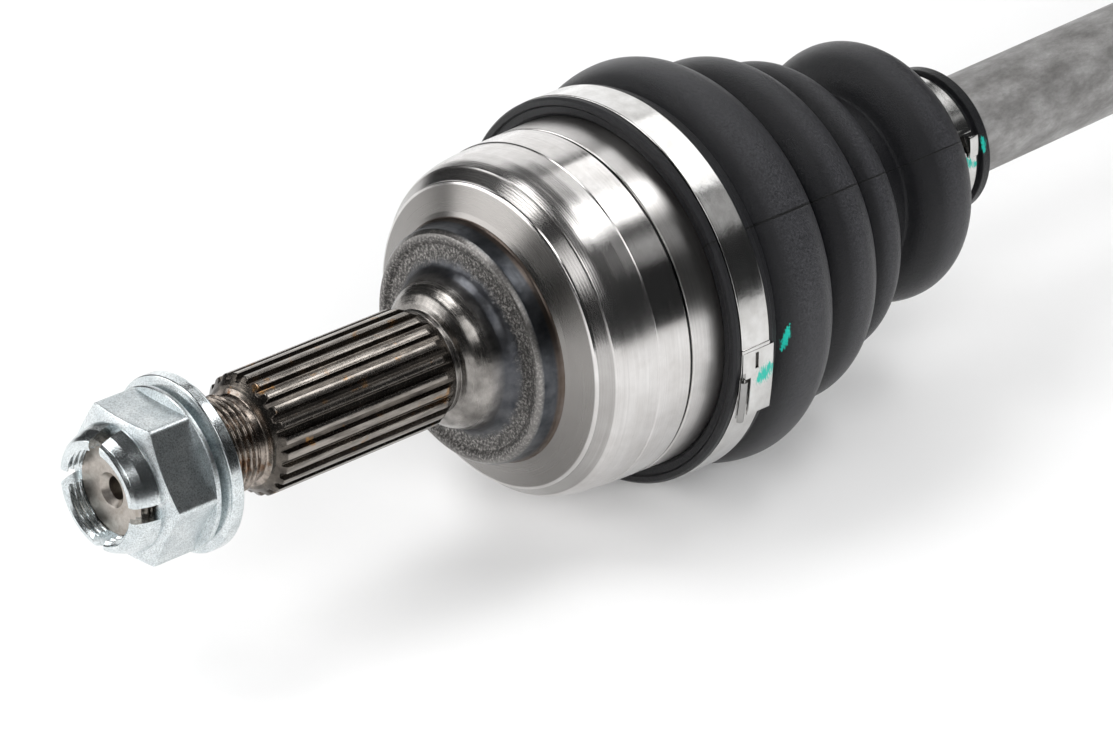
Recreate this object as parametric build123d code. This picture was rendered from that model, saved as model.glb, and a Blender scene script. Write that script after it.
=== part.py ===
from build123d import *
import math
import os

# Car drive shaft with a fixed ball joint at the wheel and a plunging tripod joint at the gearbox.
# The origin is the centre of the hub seat. X is the axis of the splined stub, from the nut towards the joint,
# and Z is up. Lengths are in millimetres and angles in degrees.

# Clearances
fit_gap = 0.05          # a shaft in its bore
ball_gap = 0.04         # a ball in its cage window
sphere_gap = 0.3        # the cage against the housing and against the race
seat_gap = 0.3          # rubber and clamp bands on what carries them
track_gap = 0.6         # a ball against its tracks

# Hub nut
nut_across_flats = 30.0
nut_height = 11.0
nut_chamfer = 1.2
crown_height = 6.7
crown_base_r = 14.6
crown_tip_r = 12.2
slot_count = 4
slot_width = 3.6
slot_turn = 0.0
washer_r = 20.1
washer_rim = 3.0
washer_cone = 1.3
washer_seat = 77.3      # from the hub seat to the washer's back face
nut_play = 0.4

# Stub
thread_r = 11.0
thread_start = 95.5     # the stub's end face, from the hub seat
thread_length = 30.0
relief_r = 9.9
spline_r = 14.0
spline_depth = 1.2
spline_teeth = 24
spline_start = 62.0
spline_end = 11.5
drill_r = 2.6
drill_depth = 7.0
drill_sink_r = 4.0

# Outer joint inside
joint_centre = 37.0
ball_circle_r = 27.5
ball_count = 6
ball_r = ball_circle_r * 0.262
bore_sphere_r = ball_circle_r + 3.0
bore_depth = bore_sphere_r - 6.5
cage_wall = 4.2
cage_half_width = ball_r + 4.3
track_sweep = 40.0
window_width = 2 * ball_r + 2.0
race_half_width = cage_half_width - 1.0
race_spline_r = ball_circle_r * 0.4
mouth_clearance = 1.2
rest_bend = 2.8
outer_bend_limit = 45.0

# Outer joint housing
boss_r = 27.5
shoulder_r = boss_r - 8.9
dish_r = boss_r - 6.0
dish_depth = 0.5
boss_depth = 6.2
body_r = bore_sphere_r + 9.2
face_r = body_r - 4.0
face_depth = 8.9
front_edge_r = body_r - 1.4
front_edge = 12.0
step_edge = 25.3
step_rise = 0.35
groove_edge = 34.8
groove_depth = 0.5
bell_end_r = body_r + 1.3
bell_length = 53.5
bell_rim = 1.5

# Shaft bar, measured along its own axis from the outer joint's centre
bar_r = 12.5
neck_r = race_spline_r
neck_length = 52.0
bar_taper = 8.0
race_stop_r = race_spline_r + 1.6
stop_width = 2.6
bar_tip = 3.6
ring_wire_r = 0.9
joint_span = 400.0

# Outer boot, measured along X from the hub seat
boot_lip = 41.3
boot_lip_r = bell_end_r + 4.7
boot_lip_width = 1.8
collar_wall = 3.3
clamp_width = 8.4
clamp_thickness = 1.0
boot_wall = 2.6
fold_places = [67.0, 88.5, 103.0, 131.0]
fold_rises = [6.6, 0.1, -5.7, -10.4]
fold_radii = [bell_end_r + rise for rise in fold_rises]
fold_halves = [13.2, 8.2, 6.4, 9.4]
valley_drops = [4.5, 9.5, 17.0]
valley_radii = [bell_end_r - drop for drop in valley_drops]
boot_small_end = 156.0
small_collar_length = 15.0
small_collar_wall = 3.6
small_lip_width = 2.2
small_lip_rise = 1.8
small_clamp_width = 7.6
small_clamp_thickness = 0.9
lock_length = 17.5
lock_turn = 98.0
small_lock_length = 8.0
small_lock_turn = 87.0
lock_rise = 1.6

# Inner joint
trunnion_count = 3
trunnion_turn = -90.0   # brings the first trunnion from Z to Y, level with the first lobe
trunnion_r = 7.5
roller_circle_r = 23.0
roller_r = 15.0
roller_half_width = 4.75
needle_r = 1.75
needle_count = 16
spider_hub_r = 15.2
spider_half_width = 11.0
inner_spline_r = 10.6
inner_neck_r = 10.0
inner_neck_length = 70.0
roller_gap = 0.75
inner_bend_limit = 20.0
plunge_limit = 12.0
shaft_dome_r = 17.0
dome_edge_r = 9.0
retainer_thickness = 1.1
retainer_r = 9.6
cup_gap = 0.3
cup_r = 9.0
cup_thickness = 3.6
spring_r = 7.6
spring_wire_r = 0.9
spring_turns = 5.0
spring_length = 28.0
spring_guide = 2.4
pocket_r = 10.0

# Tulip housing, measured from the inner joint's centre
tulip_mouth = 28.0
mouth_chamfer = 1.0
lobe_wall = 4.6
valley_wall = 4.2
hub_bore_r = 25.5
tulip_floor = 9.0
neck_outer_r = 17.0
journal_r = 18.5
journal_length = 14.0
journal_start = 58.0
gearbox_spline_r = 13.0
gearbox_teeth = 24
gearbox_spline_start = 78.0
gearbox_spline_length = 30.0
gearbox_end = 114.0
snap_groove = 110.0

# Inner boot, measured back from the inner joint's centre
inner_boot_start = 10.0
inner_collar_length = 17.0
inner_collar_wall = 3.2
inner_fold_count = 5
inner_fold_pitch = 12.0
inner_fold_r = 44.5
inner_fold_drop = 3.9
inner_fold_depth = 8.5
inner_small_length = 15.0
inner_boot_wall = 2.4

# Worked out from the sizes above
cage_outer_r = bore_sphere_r - sphere_gap
cage_inner_r = cage_outer_r - cage_wall
race_sphere_r = cage_inner_r - sphere_gap
track_r = ball_r + track_gap
boot_seat = boot_lip + 0.4
clamp_start = boot_lip + boot_lip_width + 0.2
boot_collar_r = bell_end_r + seat_gap + collar_wall
clamp_inner_r = boot_collar_r + seat_gap
small_collar_r = bar_r + seat_gap + small_collar_wall
small_clamp_inner_r = small_collar_r + seat_gap
roller_bore_r = trunnion_r + 2 * needle_r + 2 * fit_gap
roller_track_r = roller_r + roller_gap
roller_reach = roller_circle_r * math.sin(math.radians(inner_bend_limit)) + plunge_limit + roller_r
lobe_top_r = math.hypot(roller_circle_r + roller_half_width, roller_r) + seat_gap
cavity_end = roller_reach + roller_gap
lobe_outer_r = lobe_top_r + lobe_wall
tulip_back = cavity_end + tulip_floor
cup_front = shaft_dome_r + cup_gap
cup_back = cup_front + cup_thickness
spring_end = cup_back + spring_length
inner_collar_r = lobe_outer_r + seat_gap + inner_collar_wall
inner_clamp_r = inner_collar_r + seat_gap

stub_axis = Location((0, 0, 0))
shaft_axis = Location((joint_centre, 0, 0), (0, 0, rest_bend))
cage_axis = Location((joint_centre, 0, 0), (0, 0, rest_bend / 2))
inner_joint = shaft_axis * Location((joint_span, 0, 0))


def outline(points, rounds=()):
    """A flat face in the XZ plane from (x, r) points; rounds lists (point index, fillet radius)."""
    flat = make_face(Polyline(*points, close=True))
    for index, radius in rounds:
        spot = Vector(points[index][0], points[index][1], 0)
        corner = flat.vertices().sort_by_distance(spot)[0]
        flat = fillet(corner, radius)
    return Plane.XZ * flat


def turned(points, rounds=()):
    """A solid of revolution about the X axis."""
    return revolve(outline(points, rounds), axis=Axis.X)


def ring(start, length, inner_r, outer_r, edge=0.0):
    """A plain ring about X, with its outer edges bevelled."""
    end = start + length
    points = [(start, inner_r), (end, inner_r), (end, outer_r - edge)]
    if edge:
        points += [(end - edge, outer_r), (start + edge, outer_r)]
    points += [(start, outer_r - edge)]
    return turned(points)


def around(shape, count, turn=0.0):
    """Copies of a shape spaced evenly about the X axis."""
    return [Rot(turn + index * 360 / count, 0, 0) * shape for index in range(count)]


def splined(radius, depth, teeth, start, end):
    """A toothed bar about X whose teeth run out in a bevel at both ends."""
    root_r = radius - depth
    pitch = 2 * math.pi / teeth
    points = []
    for tooth in range(teeth):
        for share, reach in ((-0.33, root_r), (-0.2, radius), (0.2, radius), (0.33, root_r)):
            angle = (tooth + share) * pitch
            points.append((reach * math.cos(angle), reach * math.sin(angle)))
    toothed = extrude(Plane.YZ.offset(start) * make_face(Polyline(*points, close=True)), amount=end - start)
    bevelled = turned([
        (start, 0),
        (start, root_r - 0.4),
        (start + depth + 0.4, radius + 0.01),
        (end - depth, radius + 0.01),
        (end, root_r),
        (end, 0),
    ])
    return toothed & bevelled


def ball_track():
    """The groove of one ball, seen from the joint's centre: a bent round tube in the plane above the axis."""
    groove = Plane.YZ * Pos(0, ball_circle_r) * Circle(track_r)
    hinge = Axis((0, 0, 0), (0, -1, 0))
    return revolve(groove.rotate(hinge, -track_sweep), axis=hinge, revolution_arc=track_sweep * 2 + 10)


def ball_angles():
    """The balls' places round the joint, in degrees from the vertical."""
    return [360 / ball_count * (index + 0.5) for index in range(ball_count)]


def groove_angles():
    """Where each groove lies: midway between its ball's place with the joint straight and at its full angle."""
    shrink = math.cos(math.radians(outer_bend_limit / 2))
    angles = []
    for angle in ball_angles():
        place = math.radians(angle)
        bent = math.degrees(math.atan2(math.sin(place) * shrink, math.cos(place)))
        angles.append(angle + ((bent - angle + 180) % 360 - 180) / 2)
    return angles


def tracks():
    """The grooves of all the balls about the joint's centre."""
    groove = ball_track()
    return [Rot(angle, 0, 0) * groove for angle in groove_angles()]


def hub_nut():
    """Hexagon nut with a tall slotted crown."""
    back = -washer_seat - washer_rim - washer_cone - nut_play
    front = back - nut_height
    tip = front - crown_height
    corner_r = nut_across_flats / 2 / math.cos(math.pi / 6)
    hexagon = extrude(
        Plane.YZ.offset(front) * RegularPolygon(nut_across_flats / 2, 6, major_radius=False),
        amount=nut_height,
    )
    hexagon &= turned([
        (back, 0),
        (back, corner_r - nut_chamfer / 2),
        (back - nut_chamfer / 3, corner_r + 0.1),
        (front + nut_chamfer / 2, corner_r + 0.1),
        (front, corner_r - nut_chamfer),
        (front, 0),
    ])
    crown = turned([
        (front + 1, 0),
        (front + 1, crown_base_r),
        (front, crown_base_r),
        (tip + 0.6, crown_tip_r + 0.3),
        (tip, crown_tip_r - 0.4),
        (tip, 0),
    ])
    slot = Pos(tip + crown_height / 2 - 0.2, 0, crown_base_r) * Box(crown_height, slot_width, crown_base_r * 2)
    nut = hexagon + crown
    bore_r = thread_r + fit_gap
    nut -= turned([
        (back + 1, 0),
        (back + 1, bore_r + 1),
        (back - 1, bore_r),
        (tip - 1, bore_r),
        (tip - 1, 0),
    ])
    for cut in around(slot, slot_count, slot_turn):
        nut -= cut
    return nut


def nut_washer():
    """Captive washer: a thick plain rim with a conical face towards the hexagon."""
    back = -washer_seat
    bore_r = thread_r + 0.4
    cone_r = nut_across_flats / 2 + 0.6
    return turned([
        (back, bore_r),
        (back, washer_r - 0.5),
        (back - 0.5, washer_r),
        (back - washer_rim + 0.5, washer_r),
        (back - washer_rim, washer_r - 0.5),
        (back - washer_rim - washer_cone, cone_r),
        (back - washer_rim - washer_cone, bore_r),
    ])


def stub():
    """Threaded and splined stub, as far as the boss."""
    core_r = spline_r - spline_depth - 0.5
    thread_end = thread_start - thread_length
    bar = turned([
        (-thread_start, 0),
        (-thread_start, thread_r - 1),
        (-thread_start + 1, thread_r),
        (-thread_end, thread_r),
        (-thread_end + 0.8, relief_r),
        (-spline_start - 0.4, relief_r),
        (-spline_start, core_r),
        (-spline_end + 1, core_r),
        (-spline_end + 1, 0),
    ])
    teeth = splined(spline_r, spline_depth, spline_teeth, -spline_start, -spline_end)
    drill = turned([
        (-thread_start - 1, 0),
        (-thread_start - 1, drill_sink_r + 1),
        (-thread_start + drill_sink_r - drill_r, drill_r),
        (-thread_start + drill_depth, drill_r),
        (-thread_start + drill_depth + 1.5, 0),
    ])
    return bar + teeth - drill


def bell():
    """Turned outside of the housing, from the boss to the rim under the boot."""
    core_r = spline_r - spline_depth - 0.5
    points = [
        (-spline_end + 0.6, 0),
        (-spline_end + 0.6, core_r),
        (-spline_end + 2.4, core_r),
        (-3.4, shoulder_r - 1.2),
        (dish_depth, dish_r),
        (dish_depth, boss_r - 3.4),
        (0, boss_r - 2.6),
        (0, boss_r - 1.0),
        (1.2, boss_r),
        (boss_depth, boss_r + 1.0),
        (boss_depth + 1.2, boss_r + 3.2),
        (boss_depth + 0.6, boss_r + 4.4),
        (face_depth - 0.5, face_r - 0.7),
        (face_depth, face_r),
        (front_edge, front_edge_r),
        (step_edge, body_r - step_rise),
        (step_edge + step_rise, body_r),
        (groove_edge - groove_depth, body_r + 0.4),
        (groove_edge, body_r + 0.4 - groove_depth),
        (groove_edge + groove_depth, body_r + 0.4),
        (boot_seat - 1.0, bell_end_r + 0.2),
        (boot_seat, bell_end_r),
        (bell_length - bell_rim, bell_end_r),
        (bell_length, bell_end_r - bell_rim),
        (bell_length, 0),
    ]
    return turned(points, [(9, 0.9), (3, 3.6)])


def bell_bore():
    """Spherical bore with a flat floor, and a mouth coned out for the bar at its full angle."""
    floor_r = math.sqrt(bore_sphere_r ** 2 - bore_depth ** 2)
    limit = math.radians(outer_bend_limit)
    reach = (neck_r + mouth_clearance) / math.cos(limit)
    slope = math.tan(limit)
    square = 1 + slope ** 2
    root = math.sqrt((slope * reach) ** 2 - square * (reach ** 2 - bore_sphere_r ** 2))
    cone_start = (root - slope * reach) / square
    cone_start_r = reach + slope * cone_start
    mouth_end = bell_length - joint_centre + 1
    middle = math.pi * 0.6
    flat = make_face([
        Polyline((cone_start, cone_start_r), (mouth_end, reach + slope * mouth_end), (mouth_end, 0),
                 (-bore_depth, 0), (-bore_depth, floor_r)),
        ThreePointArc(
            (-bore_depth, floor_r),
            (bore_sphere_r * math.cos(middle), bore_sphere_r * math.sin(middle)),
            (cone_start, cone_start_r),
        ),
    ])
    return revolve(Plane.XZ * flat, axis=Axis.X)


def outer_housing():
    """Outer joint housing: stub, boss and bell in one forging, with the ball grooves inside."""
    housing = bell() + stub()
    centre = Pos(joint_centre, 0, 0)
    housing -= centre * bell_bore()
    for groove in tracks():
        housing -= centre * groove
    return housing


def outer_race():
    """Inner race of the outer joint, with a groove for each ball."""
    edge_r = math.sqrt(race_sphere_r ** 2 - race_half_width ** 2)
    bore_r = race_spline_r + fit_gap
    flat = make_face([
        Polyline((race_half_width, edge_r), (race_half_width, bore_r), (-race_half_width, bore_r),
                 (-race_half_width, edge_r)),
        ThreePointArc((-race_half_width, edge_r), (0, race_sphere_r), (race_half_width, edge_r)),
    ])
    race = revolve(Plane.XZ * flat, axis=Axis.X)
    for groove in tracks():
        race -= groove
    return race


def outer_cage():
    """Ball cage: a slice of a hollow sphere with a window for each ball."""
    outer_edge = math.sqrt(cage_outer_r ** 2 - cage_half_width ** 2)
    inner_edge = math.sqrt(cage_inner_r ** 2 - cage_half_width ** 2)
    flat = make_face([
        ThreePointArc((-cage_half_width, outer_edge), (0, cage_outer_r), (cage_half_width, outer_edge)),
        Line((cage_half_width, outer_edge), (cage_half_width, inner_edge)),
        ThreePointArc((cage_half_width, inner_edge), (0, cage_inner_r), (-cage_half_width, inner_edge)),
        Line((-cage_half_width, inner_edge), (-cage_half_width, outer_edge)),
    ])
    cage = revolve(Plane.XZ * flat, axis=Axis.X)
    window = Pos(0, 0, cage_outer_r) * Box(2 * (ball_r + ball_gap), window_width, 2 * cage_wall + 8)
    window = fillet(window.edges().filter_by(Axis.Z), 2.2)
    for angle in ball_angles():
        cage -= Rot(angle, 0, 0) * window
    return cage


def ball():
    """One ball at the top of its circle."""
    return Pos(0, 0, ball_circle_r) * Sphere(ball_r)


def shaft_bar():
    """Solid bar with a splined end for each joint, stepped down at both necks."""
    tip = -race_half_width - bar_tip
    spider_face = joint_span - spider_half_width
    dome_edge = joint_span + math.sqrt(shaft_dome_r ** 2 - dome_edge_r ** 2)
    taper_start = joint_span - inner_neck_length
    groove_place = -race_half_width - 2 * ring_wire_r - 0.1
    spider_groove = joint_span + spider_half_width + 0.1
    flat = make_face([
        Polyline(
            (joint_span + shaft_dome_r, 0),
            (tip, 0),
            (tip, race_spline_r - 1.4),
            (tip + 0.9, race_spline_r),
            (groove_place, race_spline_r),
            (groove_place, race_spline_r - ring_wire_r),
            (-race_half_width - 0.1, race_spline_r - ring_wire_r),
            (-race_half_width - 0.1, race_spline_r),
            (race_half_width + 0.2, race_spline_r),
            (race_half_width + 0.2, race_stop_r),
            (race_half_width + stop_width, race_stop_r),
            (race_half_width + stop_width + 2, neck_r),
            (neck_length, neck_r),
            (neck_length + bar_taper, bar_r),
            (taper_start - bar_taper, bar_r),
            (taper_start, inner_neck_r),
            (spider_face - 4, inner_neck_r),
            (spider_face - 3, inner_spline_r + 1.2),
            (spider_face - 0.1, inner_spline_r + 1.2),
            (spider_face - 0.1, inner_spline_r),
            (spider_groove, inner_spline_r),
            (spider_groove, inner_spline_r - ring_wire_r),
            (spider_groove + 2 * ring_wire_r, inner_spline_r - ring_wire_r),
            (spider_groove + 2 * ring_wire_r, dome_edge_r + 0.6),
            (dome_edge, dome_edge_r),
        ),
        RadiusArc((dome_edge, dome_edge_r), (joint_span + shaft_dome_r, 0), shaft_dome_r),
    ])
    return revolve(Plane.XZ * flat, axis=Axis.X)


def wire_ring(place, inner_r, gap_angle=24):
    """A snap ring of round wire about X, open at the bottom."""
    wire = Plane.XZ * Pos(place, inner_r + ring_wire_r) * RegularPolygon(ring_wire_r, 8)
    return Rot(gap_angle / 2 - 180, 0, 0) * revolve(wire, axis=Axis.X, revolution_arc=360 - gap_angle)


def clamp_band(start, width, inner_r, thickness):
    """A clamp's steel band with softened edges."""
    return ring(start, width, inner_r, inner_r + thickness, thickness * 0.3)


def clamp_lock(start, width, seat_r, turn, length):
    """The closed lock of a clamp band: a folded plate over the band with two hook tabs and two slots."""
    plate_w = width * 0.9
    place = start + width / 2
    base = Pos(place, 0, seat_r + lock_rise / 2 + 0.15) * Box(plate_w, length, lock_rise)
    base = fillet(base.edges().filter_by(Axis.X).group_by(Axis.Z)[-1], lock_rise * 0.6)
    for side in (-1, 1):
        slot = Pos(place, side * length * 0.22, seat_r + lock_rise) * Box(plate_w * 0.45, length * 0.1, 1.6)
        base -= slot
    hook = Pos(place, -length * 0.38, seat_r + lock_rise + 0.5) * Box(plate_w * 0.5, length * 0.12, 1.2)
    base += hook
    base -= ring(start - 1, width + 2, 0.1, seat_r + 0.1)
    return Rot(turn, 0, 0) * base


def boot_frame(place):
    """The plane of the boot's section at a place along X, turning from the stub's axis to the bar's."""
    begin = clamp_start + clamp_width
    end = boot_small_end - small_collar_length
    share = min(max((place - begin) / (end - begin), 0), 1)
    share = share * share * (3 - 2 * share)
    turn = math.radians(rest_bend)
    beyond = place - joint_centre
    on_bar = (joint_centre + beyond * math.cos(turn), beyond * math.sin(turn))
    middle = (place * (1 - share) + on_bar[0] * share, on_bar[1] * share)
    angle = turn * share
    return Plane(origin=(middle[0], middle[1], 0), x_dir=(0, 0, 1), z_dir=(math.cos(angle), math.sin(angle), 0))


def boot_tube(stations):
    """A closed tube through circles of (place, radius) along the boot's bending axis."""
    sections = [boot_frame(place) * Circle(radius) for place, radius in stations]
    return loft(sections, ruled=True)


def fold_stations(inset):
    """The folds between the collars: crests at their radii, rounded, with valleys between them."""
    stations = []
    feet = [boot_collar_r - 1.6] + valley_radii + [small_collar_r + 1.5]
    for index, (place, crest_r, half) in enumerate(zip(fold_places, fold_radii, fold_halves)):
        foot = feet[index]
        following = feet[index + 1]
        for share, height in ((-0.62, 0.72), (-0.25, 0.98), (0.25, 0.98), (0.62, 0.72)):
            base = foot if share < 0 else following
            reach = share * (half - inset * 0.6)
            stations.append((place + reach, base + (crest_r - base) * height - inset))
        if index < len(valley_radii):
            next_start = fold_places[index + 1] - fold_halves[index + 1]
            stations.append(((place + half + next_start) / 2, following - inset))
    return stations


def outer_boot():
    """Rubber boot: a collar on the bell, four folds of falling size and a collar on the bar."""
    clamp_end = clamp_start + clamp_width
    small_start = boot_small_end - small_collar_length
    lip_start = boot_small_end - small_lip_width
    skin = [
        (boot_lip, bell_end_r + 1.2),
        (boot_lip + 0.5, boot_lip_r),
        (boot_lip + boot_lip_width, boot_lip_r),
        (boot_lip + boot_lip_width + 0.1, boot_collar_r),
        (clamp_end + 0.1, boot_collar_r),
        (clamp_end + 0.2, boot_collar_r + 1.0),
        (clamp_end + 1.6, boot_collar_r + 1.0),
        (clamp_end + 2.4, boot_collar_r),
    ]
    skin += fold_stations(0)
    skin += [
        (small_start - 1.5, small_collar_r + 1.5),
        (small_start, small_collar_r),
        (lip_start - 0.1, small_collar_r),
        (lip_start, small_collar_r + small_lip_rise),
        (boot_small_end - 0.3, small_collar_r + small_lip_rise),
        (boot_small_end, small_collar_r + 0.8),
    ]
    hollow = [
        (boot_lip - 1, bell_end_r + seat_gap),
        (bell_length + seat_gap, bell_end_r + seat_gap),
        (bell_length + 1.5, bell_end_r + seat_gap),
    ]
    hollow += fold_stations(boot_wall)
    hollow += [
        (small_start - 1, bar_r + seat_gap),
        (boot_small_end + 1, bar_r + seat_gap),
    ]
    return boot_tube(skin) - boot_tube(hollow)


def lobed(lobe_r, top_r, hub_r, start, end):
    """A three-lobed prism about X: round lobes cut off at top_r and joined by a central cylinder."""
    lobes = Sketch() + [
        Rot(0, 0, index * 360 / trunnion_count) * Pos(roller_circle_r, 0) * Circle(lobe_r)
        for index in range(trunnion_count)
    ]
    flat = (lobes & Circle(top_r)) + Circle(hub_r)
    return extrude(Plane.YZ.offset(start) * flat, amount=end - start)


def tulip_housing():
    """Inner joint housing: a three-lobed cup with a roller track in each lobe, a journal and a splined stub."""
    body = lobed(roller_track_r + lobe_wall, lobe_outer_r, hub_bore_r + valley_wall, -tulip_mouth, tulip_back)
    neck_start = tulip_back - 0.5
    groove_r = gearbox_spline_r - ring_wire_r
    core_r = gearbox_spline_r - spline_depth - 0.5
    body += turned([
        (neck_start, 0),
        (neck_start, hub_bore_r + 1),
        (tulip_back + 3.5, neck_outer_r + 2),
        (journal_start, neck_outer_r),
        (journal_start, journal_r - 0.6),
        (journal_start + 0.6, journal_r),
        (journal_start + journal_length - 1.2, journal_r),
        (journal_start + journal_length, journal_r - 1.2),
        (gearbox_spline_start - 4, gearbox_spline_r + 0.4),
        (gearbox_spline_start - 1, core_r),
        (snap_groove - 3, core_r),
        (snap_groove - 2, gearbox_spline_r - 0.6),
        (snap_groove, gearbox_spline_r - 0.6),
        (snap_groove, groove_r - 0.6),
        (snap_groove + 2 * ring_wire_r + 0.1, groove_r - 0.6),
        (snap_groove + 2 * ring_wire_r + 0.1, gearbox_spline_r - 0.6),
        (gearbox_end - 1, gearbox_spline_r - 0.6),
        (gearbox_end, gearbox_spline_r - 2),
        (gearbox_end, 0),
    ])
    spline_stop = gearbox_spline_start + gearbox_spline_length
    body += splined(gearbox_spline_r, spline_depth, gearbox_teeth, gearbox_spline_start, spline_stop)
    body -= lobed(roller_track_r, lobe_top_r, hub_bore_r, -tulip_mouth - 1, cavity_end)
    body -= turned([
        (-tulip_mouth - 0.1, 0),
        (-tulip_mouth - 0.1, hub_bore_r + mouth_chamfer + 0.1),
        (-tulip_mouth + mouth_chamfer, hub_bore_r),
        (-tulip_mouth + mouth_chamfer, 0),
    ])
    body -= turned([(cavity_end - 1, 0), (cavity_end - 1, pocket_r), (spring_end, pocket_r), (spring_end, 0)])
    return body


def tripod_spider():
    """Spider of the inner joint: a hub with three round trunnions."""
    hub = turned([
        (-spider_half_width, 0),
        (-spider_half_width, spider_hub_r - 2),
        (-spider_half_width + 2, spider_hub_r),
        (spider_half_width - 2, spider_hub_r),
        (spider_half_width, spider_hub_r - 2),
        (spider_half_width, 0),
    ])
    tip = roller_circle_r + roller_half_width + retainer_thickness + 0.6
    trunnion = extrude(Circle(trunnion_r), amount=tip)
    trunnion = chamfer(trunnion.edges().group_by(Axis.Z)[-1], 0.6)
    for copy in around(trunnion, trunnion_count, trunnion_turn):
        hub += copy
    bore_r = inner_spline_r + fit_gap
    return hub - turned([(-20, 0), (-20, bore_r), (20, bore_r), (20, 0)])


def tripod_roller():
    """One roller: a slice of a ball on the first trunnion, bored for its needles."""
    edge = math.sqrt(roller_r ** 2 - roller_half_width ** 2)
    flat = make_face([
        Polyline((edge, roller_half_width), (roller_bore_r, roller_half_width), (roller_bore_r, -roller_half_width),
                 (edge, -roller_half_width)),
        ThreePointArc((edge, -roller_half_width), (roller_r, 0), (edge, roller_half_width)),
    ])
    body = revolve(Plane.XZ * flat, axis=Axis.Z)
    return Pos(0, 0, roller_circle_r) * body


def needle_set():
    """The needles between the first trunnion and its roller."""
    length = 2 * roller_half_width - 0.4
    circle_r = trunnion_r + needle_r + fit_gap
    needles = [
        Rot(0, 0, index * 360 / needle_count)
        * Pos(circle_r, 0, roller_circle_r)
        * Cylinder(needle_r, length)
        for index in range(needle_count)
    ]
    return Compound(children=needles)


def roller_retainer():
    """The ring that keeps one roller on its trunnion."""
    start = roller_circle_r + roller_half_width + 0.1
    washer = Circle(retainer_r) - Circle(trunnion_r + fit_gap)
    return extrude(Plane.XY.offset(start) * washer, amount=retainer_thickness)


def thrust_cup():
    """Cup that bears on the shaft's domed end and guides the spring."""
    edge = math.sqrt(cup_front ** 2 - cup_r ** 2)
    guide_r = spring_r - spring_wire_r - 0.3
    flat = make_face([
        Polyline((edge, cup_r), (cup_back, cup_r), (cup_back, guide_r), (cup_back + spring_guide, guide_r - 0.6),
                 (cup_back + spring_guide, 0), (cup_front, 0)),
        RadiusArc((edge, cup_r), (cup_front, 0), cup_front),
    ])
    return revolve(Plane.XZ * flat, axis=Axis.X)


def thrust_spring():
    """Coil spring between the cup and the housing's pocket."""
    start = cup_back + spring_wire_r + 0.1
    height = spring_length - 2 * spring_wire_r - 0.3
    path = Pos(start, 0, 0) * Rot(0, 90, 0) * Helix(height / spring_turns, height, spring_r)
    section = Plane(origin=path @ 0, z_dir=path % 0) * RegularPolygon(spring_wire_r, 6)
    return sweep(section, path=path, is_frenet=True)


def inner_folds(inset):
    """Crests and valleys of the inner boot, from the housing down to the bar."""
    points = []
    foot = -tulip_mouth - 1.5
    for index in range(inner_fold_count):
        crest_r = inner_fold_r - index * inner_fold_drop - inset
        middle = foot - inner_fold_pitch * (index + 0.5)
        half = inner_fold_pitch / 2
        points.append((middle + half * 0.55 - inset * 0.3, crest_r - inner_fold_depth * 0.22))
        points.append((middle + half * 0.2, crest_r))
        points.append((middle - half * 0.2, crest_r))
        points.append((middle - half * 0.55 + inset * 0.3, crest_r - inner_fold_depth * 0.22))
        if index < inner_fold_count - 1:
            points.append((middle - half, crest_r - inner_fold_depth))
    return points


def inner_boot_end():
    """Where the inner boot's folds end, from the inner joint's centre."""
    return -tulip_mouth - 1.5 - inner_fold_pitch * inner_fold_count


def inner_boot():
    """Rubber boot of the inner joint: a lobed collar on the housing, folds and a collar on the bar."""
    folds_end = inner_boot_end()
    small_end = folds_end - inner_small_length
    lip = small_end + small_lip_width
    collar_end = -inner_boot_start
    skin = [
        (collar_end, 0),
        (collar_end, inner_collar_r - 0.6),
        (collar_end - 0.2, inner_collar_r + 1.2),
        (collar_end - 2.0, inner_collar_r + 1.2),
        (collar_end - 2.1, inner_collar_r),
        (collar_end - inner_collar_length, inner_collar_r),
    ]
    skin += inner_folds(0)
    skin += [
        (folds_end - 1.5, small_collar_r),
        (lip + 0.1, small_collar_r),
        (lip, small_collar_r + small_lip_rise),
        (small_end + 0.3, small_collar_r + small_lip_rise),
        (small_end, small_collar_r + 0.8),
        (small_end, 0),
    ]
    hollow = [(-tulip_mouth - seat_gap, 0), (-tulip_mouth - seat_gap, lobe_outer_r - 2)]
    hollow += inner_folds(inner_boot_wall)
    hollow += [(folds_end - 1, bar_r + seat_gap), (small_end - 1, bar_r + seat_gap), (small_end - 1, 0)]
    boot = turned(skin) - turned(hollow)
    return boot - lobed(
        roller_track_r + lobe_wall + seat_gap,
        lobe_outer_r + seat_gap,
        hub_bore_r + valley_wall + seat_gap,
        -tulip_mouth - seat_gap,
        1,
    )


def write(name, shape, place=stub_axis):
    """Puts one sub-part in its place and writes its file."""
    placed = place * shape
    placed.label = name
    export_step(placed, os.path.join("parts", name + ".step"))


os.makedirs("parts", exist_ok=True)

write("hub_nut", hub_nut())
write("nut_washer", nut_washer())
write("outer_housing", outer_housing())
write("outer_race", outer_race(), shaft_axis)
write("outer_cage", outer_cage(), cage_axis)
for index, angle in enumerate(ball_angles(), start=1):
    write(f"ball_{index}", Rot(angle, 0, 0) * ball(), cage_axis)

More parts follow.
